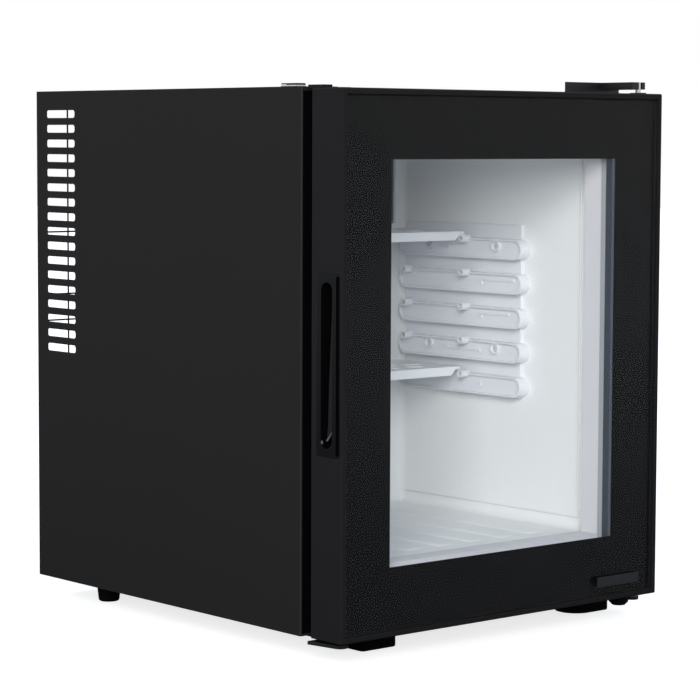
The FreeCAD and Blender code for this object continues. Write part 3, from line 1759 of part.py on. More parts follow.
def unit_brackets():
    """The straps that hold the cooling unit off the bulkhead."""
    straps = []
    for word, x, z in (
        ("vessel", "-vessel_offset", "vessel_height"),
        ("boiler", "boiler_x", "boiler_top - boiler_radius"),
        ("exchanger", "exchanger_x", "coil_top + coil_step"),
    ):
        strap = box(
            f"strap_{word}_blank",
            (f"{x} - bracket_width / 2", f"{x} + bracket_width / 2"),
            ("bulkhead_back", "unit_y"),
            (f"{z} - bracket_thickness / 2", f"{z} + bracket_thickness / 2"),
        )
        seat = {
            "vessel": vessel_tank,
            "boiler": boiler_jacket,
            "exchanger": exchanger_tube,
        }[word](f"strap_{word}_seat")
        straps.append(cut(f"strap_{word}", strap, seat))
    return compound("unit_brackets", straps)


def rear_guard():
    """The wire guard across the open back, with a corner left free for the control box."""
    wires = []
    low = "cabinet_bottom + guard_lift"
    side_count = number_of("guard_side_wires")
    for place in range(-side_count, side_count + 1):
        bottom = "guard_corner_height" if place == side_count else low
        wires.append(
            cylinder(
                f"guard_upright_{place + side_count + 1}",
                "guard_wire_radius",
                f"guard_top - ({bottom})",
                f"guard_step * ({place})",
                "guard_y",
                bottom,
            )
        )
    left = "cabinet_left + sheet_thickness"
    right = "cabinet_right - sheet_thickness"
    short = f"guard_step * ({side_count - 1})"
    heights = [
        (f"{low} + guard_end", short),
        (f"({low} + guard_corner_height) / 2", short),
        ("guard_corner_height + guard_end", right),
        ("(guard_corner_height + cabinet_top - guard_third_drop) / 2", right),
        ("cabinet_top - guard_third_drop", right),
        ("cabinet_top - guard_second_drop", right),
        ("cabinet_top - guard_first_drop", right),
        ("guard_top - guard_end", right),
    ]
    for k, (height, end) in enumerate(heights, start=1):
        wires.append(
            cylinder(
                f"guard_rung_{k}",
                "guard_wire_radius",
                f"{end} - ({left})" if end == right else f"{end} - ({left}) + guard_end",
                left,
                "guard_y - guard_lap",
                height,
                "X",
            )
        )
    return fuse("rear_guard", *wires)


# Controls


def control_box():
    """The cover over the wiring, open towards the bulkhead."""
    block = box(
        "control_block",
        ("control_left", "control_right"),
        ("bulkhead_back", "control_back"),
        ("control_bottom", "control_bottom + control_height"),
    )
    back_y = number("control_back")

    def off_the_bulkhead(edge):
        return near(edge.BoundBox.YMax, back_y)

    rounded = round_edges("control_rounded", block, "control_radius", off_the_bulkhead)
    hollow = box(
        "control_hollow",
        ("control_left + control_wall", "control_right - control_wall"),
        ("bulkhead_back - overrun", "control_back - control_wall"),
        ("control_bottom + control_wall", "control_bottom + control_height - control_wall"),
    )
    shaft = cylinder(
        "control_shaft_hole", "dial_shaft_radius + dial_gap", "control_wall + 2 * overrun", "dial_x",
        "control_back - control_wall - overrun", "dial_z", "Y",
    )
    gland = cylinder(
        "control_gland_hole", "gland_radius", "control_wall + 2 * overrun", "dial_x",
        "control_back - control_wall - overrun", "control_bottom + gland_lift", "Y",
    )
    return cut("control_box", rounded, hollow, shaft, gland)


def thermostat_body():
    back = "control_back - control_wall"
    block = box(
        "thermostat_block",
        ("dial_x - thermostat_width / 2", "dial_x + thermostat_width / 2"),
        (f"{back} - thermostat_depth", back),
        ("dial_z - thermostat_height / 2", "dial_z + thermostat_height / 2"),
    )
    bore = cylinder(
        "thermostat_bore", "dial_shaft_radius + hinge_running_clearance",
        "dial_shaft_length - control_wall + pin_tip_gap + overrun", "dial_x",
        "control_back - dial_shaft_length - pin_tip_gap", "dial_z", "Y",
    )
    return cut("thermostat_body", block, bore)


def power_gland():
    """The bushing in the control box where the supply enters."""
    body = turned(
        "power_gland",
        [
            ("gland_bore_radius", "-gland_depth"),
            ("gland_radius", "-gland_depth"),
            ("gland_radius", "0"),
            ("gland_flange_radius", "0"),
            ("gland_flange_radius", "gland_flange"),
            ("gland_bore_radius", "gland_flange"),
        ],
        "dial_x",
        "control_back",
        "control_bottom + gland_lift",
        "Y",
    )
    return body


def thermostat_dial():
    """The grooved knob on the control box, on its shaft."""
    top = "(dial_gap + dial_height)"
    body = turned(
        "thermostat_dial",
        [
            ("0", "-dial_shaft_length"),
            ("dial_shaft_radius", "-dial_shaft_length"),
            ("dial_shaft_radius", "dial_gap"),
            ("dial_radius", "dial_gap"),
            ("dial_radius", f"{top} - dial_round"),
            ("dial_radius - dial_round", top),
            ("0", top),
        ],
        "dial_x",
        "control_back",
        "dial_z",
        "Y",
    )
    groove = new_sketch(body, "dial_groove", "XY_Plane", f"{top} + overrun")
    circle(groove, "dial_radius + dial_groove_radius / 2", "0", "dial_groove_radius")
    opened = pocket(body, groove, "dial_height + 2 * overrun")
    ring = body.newObject("PartDesign::PolarPattern", "dial_groove_ring")
    ring.Originals = [opened]
    ring.Axis = (origin_feature(body, "Z_Axis"), [""])
    ring.Angle = 360
    set_rule(ring, "Occurrences", "dial_groove_count")
    body.Tip = ring
    mark = new_sketch(body, "dial_mark", "XY_Plane", f"{top} + overrun")
    rectangle(
        mark,
        ("-dial_mark_width / 2", "dial_mark_width / 2"),
        ("dial_shaft_radius", "dial_radius - dial_groove_radius - dial_round"),
    )
    pocket(body, mark, "dial_mark_depth + overrun")
    return body


# The whole part

FRONT_FEET = (
    (
        "left", "cabinet_left + left_foot_inset", "front_foot_width", "front_foot_radius",
        "cabinet_bottom",
    ),
    (
        "right", "cabinet_right - right_foot_inset", "hinge_foot_width", "hinge_foot_radius",
        "plate_seat",
    ),
)

NODES = [
    side_panel(-1),
    side_panel(1),
    top_panel(),
    base_panel(),
    rear_bulkhead(),
    insulation_foam(),
    inner_liner(),
    shelf_rail(-1),
    shelf_rail(1),
    rail_screws(),
    shelf("shelf_upper", "upper_shelf_rear_gap", FIRST_RAIL),
    shelf("shelf_lower", "lower_shelf_rear_gap", LAST_RAIL),
    evaporator_fins(),
    evaporator_pipe(),
    gas_heat_exchanger(),
    vessel_tank("absorber_vessel"),
    absorber_coil(),
    boiler_housing(),
    heater_cartridge(),
    solution_pipe(),
    condenser_tube(),
    condenser_fins(),
    unit_brackets(),
    rear_guard(),
    control_box(),
    thermostat_body(),
    power_gland(),
    thermostat_dial(),
    door_frame(),
    front_glass(),
    glass_print(),
    glass_spacer(),
    rear_glass(),
    glass_bead(),
    door_liner(),
    door_gasket(),
    gasket_magnets(),
    handle_grip(),
    badge_plate(),
    door_bush("door_bush_top", "hinge_pin_radius", "door_top", -1),
    door_bush("door_bush_bottom", "bottom_pin_radius", "door_bottom", 1),
    spare_bush_cover(),
    door_stop_button(),
    top_hinge_shim(),
    top_hinge_arm(),
    top_hinge_pin(),
    bottom_plate("bottom_hinge_plate", 1),
    bottom_hinge_pin(),
    bottom_plate("spare_hinge_plate", -1),
    spare_hinge_cover(),
    hinge_screws(),
    *(front_foot(*each) for each in FRONT_FEET),
    rear_foot(-1),
    rear_foot(1),
]

doc.recompute()
faults = [
    item.Name for item in doc.Objects if "Invalid" in item.State or "Error" in item.State
]
for node in NODES:
    if node.Shape.isNull() or not node.Shape.isValid() or not node.Shape.Solids:
        faults.append(node.Label)
if faults:
    raise RuntimeError("objects at fault: " + ", ".join(faults))

os.makedirs("parts", exist_ok=True)
for node in NODES:
    node.Shape.exportStep(f"parts/{node.Label}.step")
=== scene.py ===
import math

import bmesh
import bpy
from mathutils import Matrix, Vector


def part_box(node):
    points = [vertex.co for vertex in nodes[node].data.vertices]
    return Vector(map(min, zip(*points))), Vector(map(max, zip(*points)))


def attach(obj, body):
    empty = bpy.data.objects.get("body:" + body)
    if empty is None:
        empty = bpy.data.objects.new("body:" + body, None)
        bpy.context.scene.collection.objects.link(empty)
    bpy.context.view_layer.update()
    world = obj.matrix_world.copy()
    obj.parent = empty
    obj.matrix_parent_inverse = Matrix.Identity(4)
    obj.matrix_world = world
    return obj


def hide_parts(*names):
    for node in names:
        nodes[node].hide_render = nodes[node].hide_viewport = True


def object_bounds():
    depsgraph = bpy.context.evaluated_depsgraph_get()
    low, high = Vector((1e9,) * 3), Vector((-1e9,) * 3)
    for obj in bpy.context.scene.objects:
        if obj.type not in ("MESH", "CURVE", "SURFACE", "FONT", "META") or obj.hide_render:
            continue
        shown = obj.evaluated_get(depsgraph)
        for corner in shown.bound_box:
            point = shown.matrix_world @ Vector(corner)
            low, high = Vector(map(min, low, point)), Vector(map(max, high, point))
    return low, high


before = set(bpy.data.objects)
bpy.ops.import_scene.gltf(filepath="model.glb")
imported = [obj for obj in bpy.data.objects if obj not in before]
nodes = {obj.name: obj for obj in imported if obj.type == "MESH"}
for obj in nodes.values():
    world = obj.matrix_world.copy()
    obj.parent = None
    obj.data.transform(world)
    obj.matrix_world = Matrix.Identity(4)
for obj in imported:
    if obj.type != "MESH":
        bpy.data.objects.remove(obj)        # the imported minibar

cad_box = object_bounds()
MM = 0.001


# Shared effects as node groups


def new_group(name, inputs, outputs):
    """An empty shader group with float or colour sockets, and its two end nodes."""
    tree = bpy.data.node_groups.new(name, "ShaderNodeTree")
    kinds = {"float": "NodeSocketFloat", "colour": "NodeSocketColor", "vector": "NodeSocketVector"}
    for label, kind, value in inputs:
        socket = tree.interface.new_socket(label, in_out="INPUT", socket_type=kinds[kind])
        socket.default_value = value
    for label, kind in outputs:
        tree.interface.new_socket(label, in_out="OUTPUT", socket_type=kinds[kind])
    return tree, tree.nodes.new("NodeGroupInput"), tree.nodes.new("NodeGroupOutput")


def feed(tree, socket, value):
    """Sets a socket to a plain value, or links another node's output to it."""
    if isinstance(value, (int, float, tuple)):
        socket.default_value = value
    else:
        tree.links.new(value, socket)


def math_node(tree, operation, first, second, clamp=False):
    node = tree.nodes.new("ShaderNodeMath")
    node.operation = operation
    node.use_clamp = clamp
    feed(tree, node.inputs[0], first)
    feed(tree, node.inputs[1], second)
    return node.outputs[0]


def noise(tree, vector, scale, detail=2.0, rough=0.5):
    node = tree.nodes.new("ShaderNodeTexNoise")
    for label, value in (
        ("Vector", vector), ("Scale", scale), ("Detail", detail), ("Roughness", rough),
    ):
        feed(tree, node.inputs[label], value)
    return node.outputs["Fac"]


def mix_colour(tree, amount, first, second, kind="MIX"):
    node = tree.nodes.new("ShaderNodeMix")
    node.data_type = "RGBA"
    node.blend_type = kind
    for place, value in ((0, amount), (6, first), (7, second)):
        feed(tree, node.inputs[place], value)
    return node.outputs[2]


def ramp(tree, value, near, far, low, high, kind="LINEAR"):
    """A value that goes from low to high between two distances."""
    node = tree.nodes.new("ShaderNodeMapRange")
    node.interpolation_type = kind
    for label, number in (
        ("Value", value), ("From Min", near), ("From Max", far), ("To Min", low), ("To Max", high),
    ):
        feed(tree, node.inputs[label], number)
    return node.outputs["Result"]


def object_place(tree):
    return tree.nodes.new("ShaderNodeTexCoord").outputs["Object"]


def make_uneven_tone():
    """Broad and fine changes of tone and gloss, as every moulded or coated surface has."""
    tree, start, end = new_group(
        "uneven_tone",
        [
            ("Place", "vector", (0, 0, 0)),
            ("Colour", "colour", (0.5, 0.5, 0.5, 1)),
            ("Tone", "float", 0.1),
            ("Broad Scale", "float", 6.0),
            ("Fine Scale", "float", 300.0),
            ("Gloss", "float", 0.4),
            ("Gloss Spread", "float", 0.06),
        ],
        [("Colour", "colour"), ("Roughness", "float")],
    )
    source = start.outputs
    broad = noise(tree, source["Place"], source["Broad Scale"], 4.0)
    fine = noise(tree, source["Place"], source["Fine Scale"], 3.0)
    both = math_node(tree, "ADD", broad, fine)
    spread = math_node(tree, "SUBTRACT", both, 1.0)
    lift = math_node(tree, "MULTIPLY", spread, source["Tone"])
    factor = math_node(tree, "ADD", lift, 1.0)
    grey = tree.nodes.new("ShaderNodeCombineColor")
    for socket in grey.inputs:
        tree.links.new(factor, socket)
    colour = mix_colour(tree, 1.0, source["Colour"], grey.outputs[0], "MULTIPLY")
    tree.links.new(colour, end.inputs["Colour"])
    rough = math_node(tree, "MULTIPLY", spread, source["Gloss Spread"])
    tree.links.new(math_node(tree, "ADD", rough, source["Gloss"]), end.inputs["Roughness"])
    return tree


def make_grain():
    """The height of a fine even texture: moulded grain, orange peel or cast skin."""
    tree, start, end = new_group(
        "surface_grain",
        [
            ("Place", "vector", (0, 0, 0)),
            ("Scale", "float", 800.0),
            ("Softness", "float", 0.5),
            ("Waviness", "float", 0.3),
        ],
        [("Height", "float")],
    )
    source = start.outputs
    fine = noise(tree, source["Place"], source["Scale"], 2.0, source["Softness"])
    wave_scale = math_node(tree, "MULTIPLY", source["Scale"], 0.03)
    wave = noise(tree, source["Place"], wave_scale, 2.0)
    wave_part = math_node(tree, "MULTIPLY", wave, source["Waviness"])
    tree.links.new(math_node(tree, "ADD", fine, wave_part), end.inputs["Height"])
    return tree


def make_speckle():
    """Round marks with sharp edges, from cells: zinc spangle, foam bubbles or ferrite grains."""
    tree, start, end = new_group(
        "cell_speckle",
        [("Place", "vector", (0, 0, 0)), ("Scale", "float", 60.0)],
        [("Shade", "float"), ("Edge", "float")],
    )
    cells = tree.nodes.new("ShaderNodeTexVoronoi")
    tree.links.new(start.outputs["Place"], cells.inputs["Vector"])
    tree.links.new(start.outputs["Scale"], cells.inputs["Scale"])
    split = tree.nodes.new("ShaderNodeSeparateColor")
    tree.links.new(cells.outputs["Color"], split.inputs[0])
    tree.links.new(split.outputs[0], end.inputs["Shade"])
    tree.links.new(cells.outputs["Distance"], end.inputs["Edge"])
    return tree


def make_edge_highlight_mask():
    """A mask of the outer edges, where a lighter colour paints the highlight that the edges catch;
    a noise makes it patchy.
    """
    tree, start, end = new_group(
        "painted_edge_highlight_mask",
        [
            ("Rounded", "vector", (0, 0, 1)),
            ("Plain", "vector", (0, 0, 1)),
            ("Place", "vector", (0, 0, 0)),
            ("Gain", "float", 1.5),
        ],
        [("Mask", "float")],
    )
    source = start.outputs
    turn = tree.nodes.new("ShaderNodeVectorMath")
    turn.operation = "DOT_PRODUCT"
    tree.links.new(source["Rounded"], turn.inputs[0])
    tree.links.new(source["Plain"], turn.inputs[1])
    away = math_node(tree, "SUBTRACT", 1.0, turn.outputs["Value"])
    strong = math_node(tree, "MULTIPLY", away, source["Gain"])
    patchy = noise(tree, source["Place"], 45.0, 3.0)
    tree.links.new(math_node(tree, "MULTIPLY", strong, patchy, clamp=True), end.inputs["Mask"])
    return tree


UNEVEN_TONE = make_uneven_tone()
SURFACE_GRAIN = make_grain()
CELL_SPECKLE = make_speckle()
EDGE_HIGHLIGHT_MASK = make_edge_highlight_mask()


def group_node(tree, group, **values):
    node = tree.nodes.new("ShaderNodeGroup")
    node.node_tree = group
    for label, value in values.items():
        feed(tree, node.inputs[label.replace("_", " ")], value)
    return node


def srgb(text):
    """A screen colour such as 2a2a2c as linear values."""
    values = [int(text[k : k + 2], 16) / 255 for k in (0, 2, 4)]
    return tuple(v / 12.92 if v <= 0.04045 else ((v + 0.055) / 1.055) ** 2.4 for v in values) + (1,)


EDGE_HIGHLIGHT_GAIN = 3.0


def finish_of(
    name, colour, gloss, grain=800.0, depth=0.01, tone=0.08, fine=300.0, spread=0.06,
    wave=0.3, specular=0.5, metal=0.0, coat=0.0, coat_gloss=0.1, edge=0.35, highlight_colour=None,
):
    """A coated, moulded or plated surface; the grain's depth and the edge are in millimetres."""
    made = bpy.data.materials.new(name)
    made.use_nodes = True
    tree = made.node_tree
    shader = tree.nodes["Principled BSDF"]
    place = object_place(tree)
    rounded = tree.nodes.new("ShaderNodeBevel")
    rounded.samples = 4
    rounded.inputs["Radius"].default_value = edge * MM
    tone_node = group_node(
        tree, UNEVEN_TONE, Place=place, Colour=colour, Tone=tone, Fine_Scale=fine, Gloss=gloss,
        Gloss_Spread=spread,
    )
    shade = tone_node.outputs["Colour"]
    # A lighter colour on the edges paints their highlight.
    if highlight_colour:
        plain = tree.nodes.new("ShaderNodeNewGeometry").outputs["Normal"]
        highlight_mask = group_node(
            tree, EDGE_HIGHLIGHT_MASK, Rounded=rounded.outputs[0], Plain=plain, Place=place, Gain=EDGE_HIGHLIGHT_GAIN
        )
        shade = mix_colour(tree, highlight_mask.outputs["Mask"], shade, highlight_colour)
    tree.links.new(shade, shader.inputs["Base Color"])
    tree.links.new(tone_node.outputs["Roughness"], shader.inputs["Roughness"])
    shader.inputs["Metallic"].default_value = metal
    shader.inputs["Specular IOR Level"].default_value = specular
    shader.inputs["Coat Weight"].default_value = coat
    shader.inputs["Coat Roughness"].default_value = coat_gloss
    grain_node = group_node(tree, SURFACE_GRAIN, Place=place, Scale=grain, Waviness=wave)
    bump = tree.nodes.new("ShaderNodeBump")
    bump.inputs["Strength"].default_value = 1.0
    bump.inputs["Distance"].default_value = depth * MM
    tree.links.new(grain_node.outputs["Height"], bump.inputs["Height"])
    tree.links.new(rounded.outputs[0], bump.inputs["Normal"])
    tree.links.new(bump.outputs["Normal"], shader.inputs["Normal"])
    return made


def add_speckle(material, scale, dark, light, share=1.0):
    """Lays a cell pattern over a finish's colour."""
    tree = material.node_tree
    shader = tree.nodes["Principled BSDF"]
    cells = group_node(tree, CELL_SPECKLE, Place=object_place(tree), Scale=scale)
    pattern = mix_colour(tree, cells.outputs["Shade"], dark, light)
    old = shader.inputs["Base Color"].links[0].from_socket
    tree.links.new(mix_colour(tree, share, old, pattern), shader.inputs["Base Color"])
    return material


def add_brushing(material, stretch, amount, dark, light):
    """Lays fine straight brush lines over a metal's colour."""
    tree = material.node_tree
    shader = tree.nodes["Principled BSDF"]
    turn = tree.nodes.new("ShaderNodeMapping")
    turn.inputs["Scale"].default_value = stretch
    tree.links.new(object_place(tree), turn.inputs["Vector"])
    lines = noise(tree, turn.outputs["Vector"], 1.0, 4.0, 0.7)
    pattern = mix_colour(tree, lines, dark, light)
    old = shader.inputs["Base Color"].links[0].from_socket
    tree.links.new(mix_colour(tree, amount, old, pattern), shader.inputs["Base Color"])
    return material


GLASS_TINT = (0.992, 0.997, 0.997, 1)
GLASS_INDEX = 1.06       # lower than real glass, so the panes don't shift the inside
GLASS_COAT, GLASS_COAT_GLOSS = 0.07, 0.02
SMUDGE = 0.015


def glass_finish():
    """Clear pane glass that lets light and shadow rays straight through."""
    made = bpy.data.materials.new("clear_pane")
    made.use_nodes = True
    tree = made.node_tree
    shader = tree.nodes["Principled BSDF"]
    shader.inputs["Base Color"].default_value = GLASS_TINT
    shader.inputs["Transmission Weight"].default_value = 1.0
    shader.inputs["IOR"].default_value = GLASS_INDEX
    shader.inputs["Coat Weight"].default_value = GLASS_COAT
    shader.inputs["Coat Roughness"].default_value = GLASS_COAT_GLOSS
    smudge = noise(tree, object_place(tree), 9.0, 3.0)
    tree.links.new(math_node(tree, "MULTIPLY", smudge, SMUDGE), shader.inputs["Roughness"])
    clear = tree.nodes.new("ShaderNodeBsdfTransparent")
    clear.inputs["Color"].default_value = GLASS_TINT
    path = tree.nodes.new("ShaderNodeLightPath").outputs
    through = math_node(tree, "MAXIMUM", path["Is Shadow Ray"], path["Is Diffuse Ray"])
    mix = tree.nodes.new("ShaderNodeMixShader")
    tree.links.new(through, mix.inputs[0])
    tree.links.new(shader.outputs[0], mix.inputs[1])
    tree.links.new(clear.outputs[0], mix.inputs[2])
    tree.links.new(mix.outputs[0], tree.nodes["Material Output"].inputs["Surface"])
    return made


# The highlight colours given to some finishes are painted highlights along their edges.
FINISHES = {
    "powder_coat": finish_of(
        "powder_coat", srgb("222121"), 0.5, grain=700, depth=0.008, specular=0.03, edge=0.7,
        highlight_colour=srgb("4a4a4e"),
    ),
    "frame_moulding": finish_of(
        "frame_moulding", srgb("1d1c1d"), 0.46, grain=1500, depth=0.006, specular=0.03,
        edge=0.6, highlight_colour=srgb("343438"),
    ),
    "hinge_coat": finish_of(
        "hinge_coat", srgb("19191b"), 0.38, grain=900, depth=0.008, specular=0.3,
        highlight_colour=srgb("2c2c2f"),
    ),
    "grip_moulding": finish_of(
        "grip_moulding", srgb("070708"), 0.2, grain=500, depth=0.003, specular=0.12
    ),
    "black_enamel": finish_of(
        "black_enamel", srgb("0d0d0e"), 0.35, grain=200, depth=0.0005, tone=0.05, specular=0.03
    ),
    "inner_moulding": finish_of(
        "inner_moulding", srgb("f5f6f6"), 0.42, grain=900, depth=0.002, tone=0.02, specular=0.3,
        edge=1.1,
    ),
    "rail_moulding": finish_of(
        "rail_moulding", srgb("ecedf2"), 0.36, grain=900, depth=0.002, tone=0.02, specular=0.3,
        edge=0.9,
    ),
    "shelf_moulding": finish_of(
        "shelf_moulding", srgb("f3f4f6"), 0.34, grain=1100, depth=0.002, tone=0.02, specular=0.3
    ),
    "liner_moulding": finish_of(
        "liner_moulding", srgb("dcdadd"), 0.45, grain=900, depth=0.002, tone=0.02, specular=0.3
    ),
    "spacer_metal": finish_of(
        "spacer_metal", srgb("4a505a"), 0.5, grain=400, depth=0.003, metal=0.3, tone=0.08
    ),
    "bead_moulding": finish_of(
        "bead_moulding", srgb("a9abb0"), 0.5, grain=900, depth=0.003, tone=0.04, specular=0.2
    ),
    "seal_rubber": finish_of(
        "seal_rubber", srgb("060608"), 0.7, grain=600, depth=0.01, tone=0.15, specular=0.0
    ),
    "foot_rubber": finish_of(
        "foot_rubber", srgb("0d0d0f"), 0.6, grain=500, depth=0.02, tone=0.15, specular=0.03
    ),
    "bright_plate": finish_of(
        "bright_plate", srgb("c9cacc"), 0.22, grain=300, depth=0.002, metal=1.0, tone=0.05
    ),
    "badge_metal": add_brushing(
        finish_of(
            "badge_metal", srgb("2b2c2e"), 0.36, grain=2000, depth=0.003, metal=0.35, specular=0.2
        ),
        (40.0, 40.0, 6000.0), 0.6, srgb("232426"), srgb("3a3b3e"),
    ),
    "plain_moulding": finish_of(
        "plain_moulding", srgb("222224"), 0.5, grain=900, depth=0.01, specular=0.15
    ),
    "unit_paint": finish_of(
        "unit_paint", srgb("1a1a1c"), 0.42, grain=300, depth=0.03, tone=0.2, wave=0.8, specular=0.2
    ),
    "jacket_sheet": finish_of(
        "jacket_sheet", srgb("7c7f82"), 0.38, grain=250, depth=0.04, metal=0.7, wave=1.0, tone=0.1
    ),
    "bare_aluminium": add_brushing(
        finish_of(
            "bare_aluminium", srgb("c0c3c6"), 0.33, grain=700, depth=0.01, metal=1.0, tone=0.08
        ),
        (30.0, 1500.0, 30.0), 0.5, srgb("a9acb0"), srgb("d4d6d9"),
    ),
    "heater_sleeve": add_brushing(
        finish_of("heater_sleeve", srgb("a39f98"), 0.3, grain=900, depth=0.006, metal=1.0),
        (20.0, 20.0, 2500.0), 0.5, srgb("8f8b84"), srgb("b8b4ad"),
    ),
    "zinc_sheet": add_speckle(
        finish_of("zinc_sheet", srgb("9ea2a5"), 0.4, grain=300, depth=0.01, metal=0.9, tone=0.08),
        110.0, srgb("8f9396"), srgb("b4b8bb"), 0.6,
    ),
    "foam_skin": add_speckle(
        finish_of("foam_skin", srgb("d9c78e"), 0.85, grain=350, depth=0.3, tone=0.15),
        500.0, srgb("c7b376"), srgb("e6d7a3"), 0.7,
    ),
    "ferrite": add_speckle(
        finish_of("ferrite", srgb("3a3735"), 0.6, grain=900, depth=0.02),
        900.0, srgb("2e2b29"), srgb("47433f"), 0.6,
    ),
    # A white a little darker than the liner, which paints the shade under the side walls' raised
    # fields.
    "painted_seam_shade": finish_of(
        "painted_seam_shade", srgb("dee2e4"), 0.5, grain=900, depth=0.002, tone=0.03, specular=0.2
    ),
    # A lighter grey that paints glints in the grip's scoop.
    "painted_glint": finish_of(
        "painted_glint", srgb("5c5c5f"), 0.25, grain=700, depth=0.002, specular=0.3
    ),
    # A lighter grey that paints the highlight down the cabinet's front edges.
    "painted_edge_strip": finish_of(
        "painted_edge_strip", srgb("303033"), 0.4, grain=700, depth=0.005, specular=0.15
    ),
    "scale_paint": finish_of(
        "scale_paint", srgb("d8d8d6"), 0.5, grain=1200, depth=0.004, tone=0.06, specular=0.3
    ),
    "clear_pane": glass_finish(),
}

NODE_FINISHES = {
    "powder_coat": ("left_side_panel", "right_side_panel", "top_panel", "base_panel"),
    "zinc_sheet": ("rear_bulkhead", "unit_brackets"),
    "foam_skin": ("insulation_foam",),
    "inner_moulding": ("inner_liner",),
    "rail_moulding": ("shelf_rail_left", "shelf_rail_right", "rail_screws"),
    "shelf_moulding": ("shelf_upper", "shelf_lower"),
    "bright_plate": ("hinge_screws", "top_hinge_pin", "bottom_hinge_pin"),
    "bare_aluminium": ("evaporator_fins", "condenser_fin_row"),
    "unit_paint": (
        "evaporator_pipe", "gas_heat_exchanger", "absorber_vessel", "absorber_coil",
        "solution_pipe", "condenser_tube", "rear_guard",
    ),
    "jacket_sheet": ("boiler_housing",),
    "heater_sleeve": ("heater_cartridge",),
    "plain_moulding": (
        "control_box", "thermostat_body", "thermostat_dial", "door_bush_top", "door_bush_bottom",
    ),
    "foot_rubber": (
        "front_foot_left", "front_foot_right", "rear_foot_left", "rear_foot_right",
        "door_stop_button", "power_gland",
    ),
    "hinge_coat": ("top_hinge_arm", "top_hinge_shim", "bottom_hinge_plate", "spare_hinge_plate"),
    "frame_moulding": ("door_frame", "spare_bush_cover", "spare_hinge_cover"),
    "grip_moulding": ("handle_grip",),
    "black_enamel": ("glass_print",),
    "spacer_metal": ("glass_spacer",),
    "bead_moulding": ("glass_bead",),
    "liner_moulding": ("door_liner",),
    "seal_rubber": ("door_gasket",),
    "ferrite": ("gasket_magnets",),
    "badge_metal": ("badge_plate",),
    "clear_pane": ("front_glass", "rear_glass"),
}
for finish, names in NODE_FINISHES.items():
    for name in names:
        for slot in nodes[name].material_slots:
            slot.material = FINISHES[finish]


# Pieces made here


def add_piece(name, mesh, finish, body, slot, *replaced, smooth=35):
    """A finished mesh as an object that rides on a body and stands for CAD nodes."""
    data = bpy.data.meshes.new(name)
    mesh.to_mesh(data)
    mesh.free()
    data.materials.append(FINISHES[finish])
    if smooth:
        data.shade_smooth()
        data.set_sharp_from_angle(angle=math.radians(smooth))
    piece = bpy.data.objects.new(name, data)
    bpy.context.scene.collection.objects.link(piece)
    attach(piece, body)
    if replaced:
        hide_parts(*replaced)
    return piece


def add_shape(mesh, shape, place=Matrix(), hollow=False):
    """Puts a shape into a mesh at its place; a hollow's faces point inwards."""
    bmesh.ops.transform(shape, matrix=place, verts=shape.verts[:])
    bmesh.ops.recalc_face_normals(shape, faces=shape.faces[:])
    if hollow:
        bmesh.ops.reverse_faces(shape, faces=shape.faces[:])
    data = bpy.data.meshes.new("shape")
    shape.to_mesh(data)
    shape.free()
    mesh.from_mesh(data)
    bpy.data.meshes.remove(data)


def bevel_edges(mesh, edges, offset, segments=2):
    bmesh.ops.bevel(
        mesh, geom=edges, offset=offset, segments=segments, profile=0.5, material=-1,
        affect="EDGES",
    )


def skin(mesh, loops, closed=False):
    """Faces over a row of outlines: caps at its ends, or back to the first if it is closed."""
    if not closed:
        mesh.faces.new(loops[0])
        mesh.faces.new(loops[-1])
    for loop, after in zip(loops, loops[1:] + loops[:1] if closed else loops[1:]):
        for k in range(len(loop)):
            turn = (k + 1) % len(loop)
            mesh.faces.new((loop[k], loop[turn], after[turn], after[k]))
    bmesh.ops.recalc_face_normals(mesh, faces=mesh.faces[:])


def extrude_loop(mesh, loop):
    """Extrudes a loop of edges in place, and gives its new edges and their points."""
    made = bmesh.ops.extrude_edge_only(mesh, edges=loop)["geom"]
    points = {item for item in made if isinstance(item, bmesh.types.BMVert)}
    edges = [item for item in made if isinstance(item, bmesh.types.BMEdge)]
    return [edge for edge in edges if points.issuperset(edge.verts)], points


def block(low, high, bevel):
    """A box between two corners, with its edges bevelled."""
    mesh = bmesh.new()
    size = [b - a for a, b in zip(low, high)]
    middle = [(a + b) / 2 for a, b in zip(low, high)]
    place = Matrix.Translation(middle) @ Matrix.Diagonal((*size, 1))
    bmesh.ops.create_cube(mesh, size=1, matrix=place)
    bevel_edges(mesh, mesh.edges[:], bevel)
    return mesh


def turned(profile):
    """A closed outline of (radius, height) points turned round the Z axis."""
    mesh = bmesh.new()
    points = [mesh.verts.new((radius, 0, height)) for radius, height in profile]
    rim = [mesh.edges.new((a, b)) for a, b in zip(points, points[1:] + points[:1])]
    bmesh.ops.spin(
        mesh, geom=points + rim, cent=(0, 0, 0), axis=(0, 0, 1), angle=2 * math.pi, steps=64,
        use_merge=True,
    )
    bmesh.ops.remove_doubles(mesh, verts=mesh.verts[:], dist=1e-6)
    return mesh


def frame_ring(profile, half_width, half_height, middle_height):
    """A closed outline of (outward, depth) points swept round the door, mitred at its corners."""
    mesh = bmesh.new()
    points = [
        mesh.verts.new((-half_width - out, depth, middle_height - half_height - out))
        for out, depth in profile
    ]
    first = [mesh.edges.new((a, b)) for a, b in zip(points, points[1:] + points[:1])]
    loop = first
    for turn in (
        Matrix.Diagonal((-1, 1, 1, 1)),
        Matrix.Translation((0, 0, 2 * middle_height)) @ Matrix.Diagonal((1, 1, -1, 1)),
        Matrix.Diagonal((-1, 1, 1, 1)),
    ):
        loop, moved = extrude_loop(mesh, loop)
        bmesh.ops.transform(mesh, matrix=turn, verts=list(moved))
    bmesh.ops.bridge_loops(mesh, edges=first + loop)
    return mesh


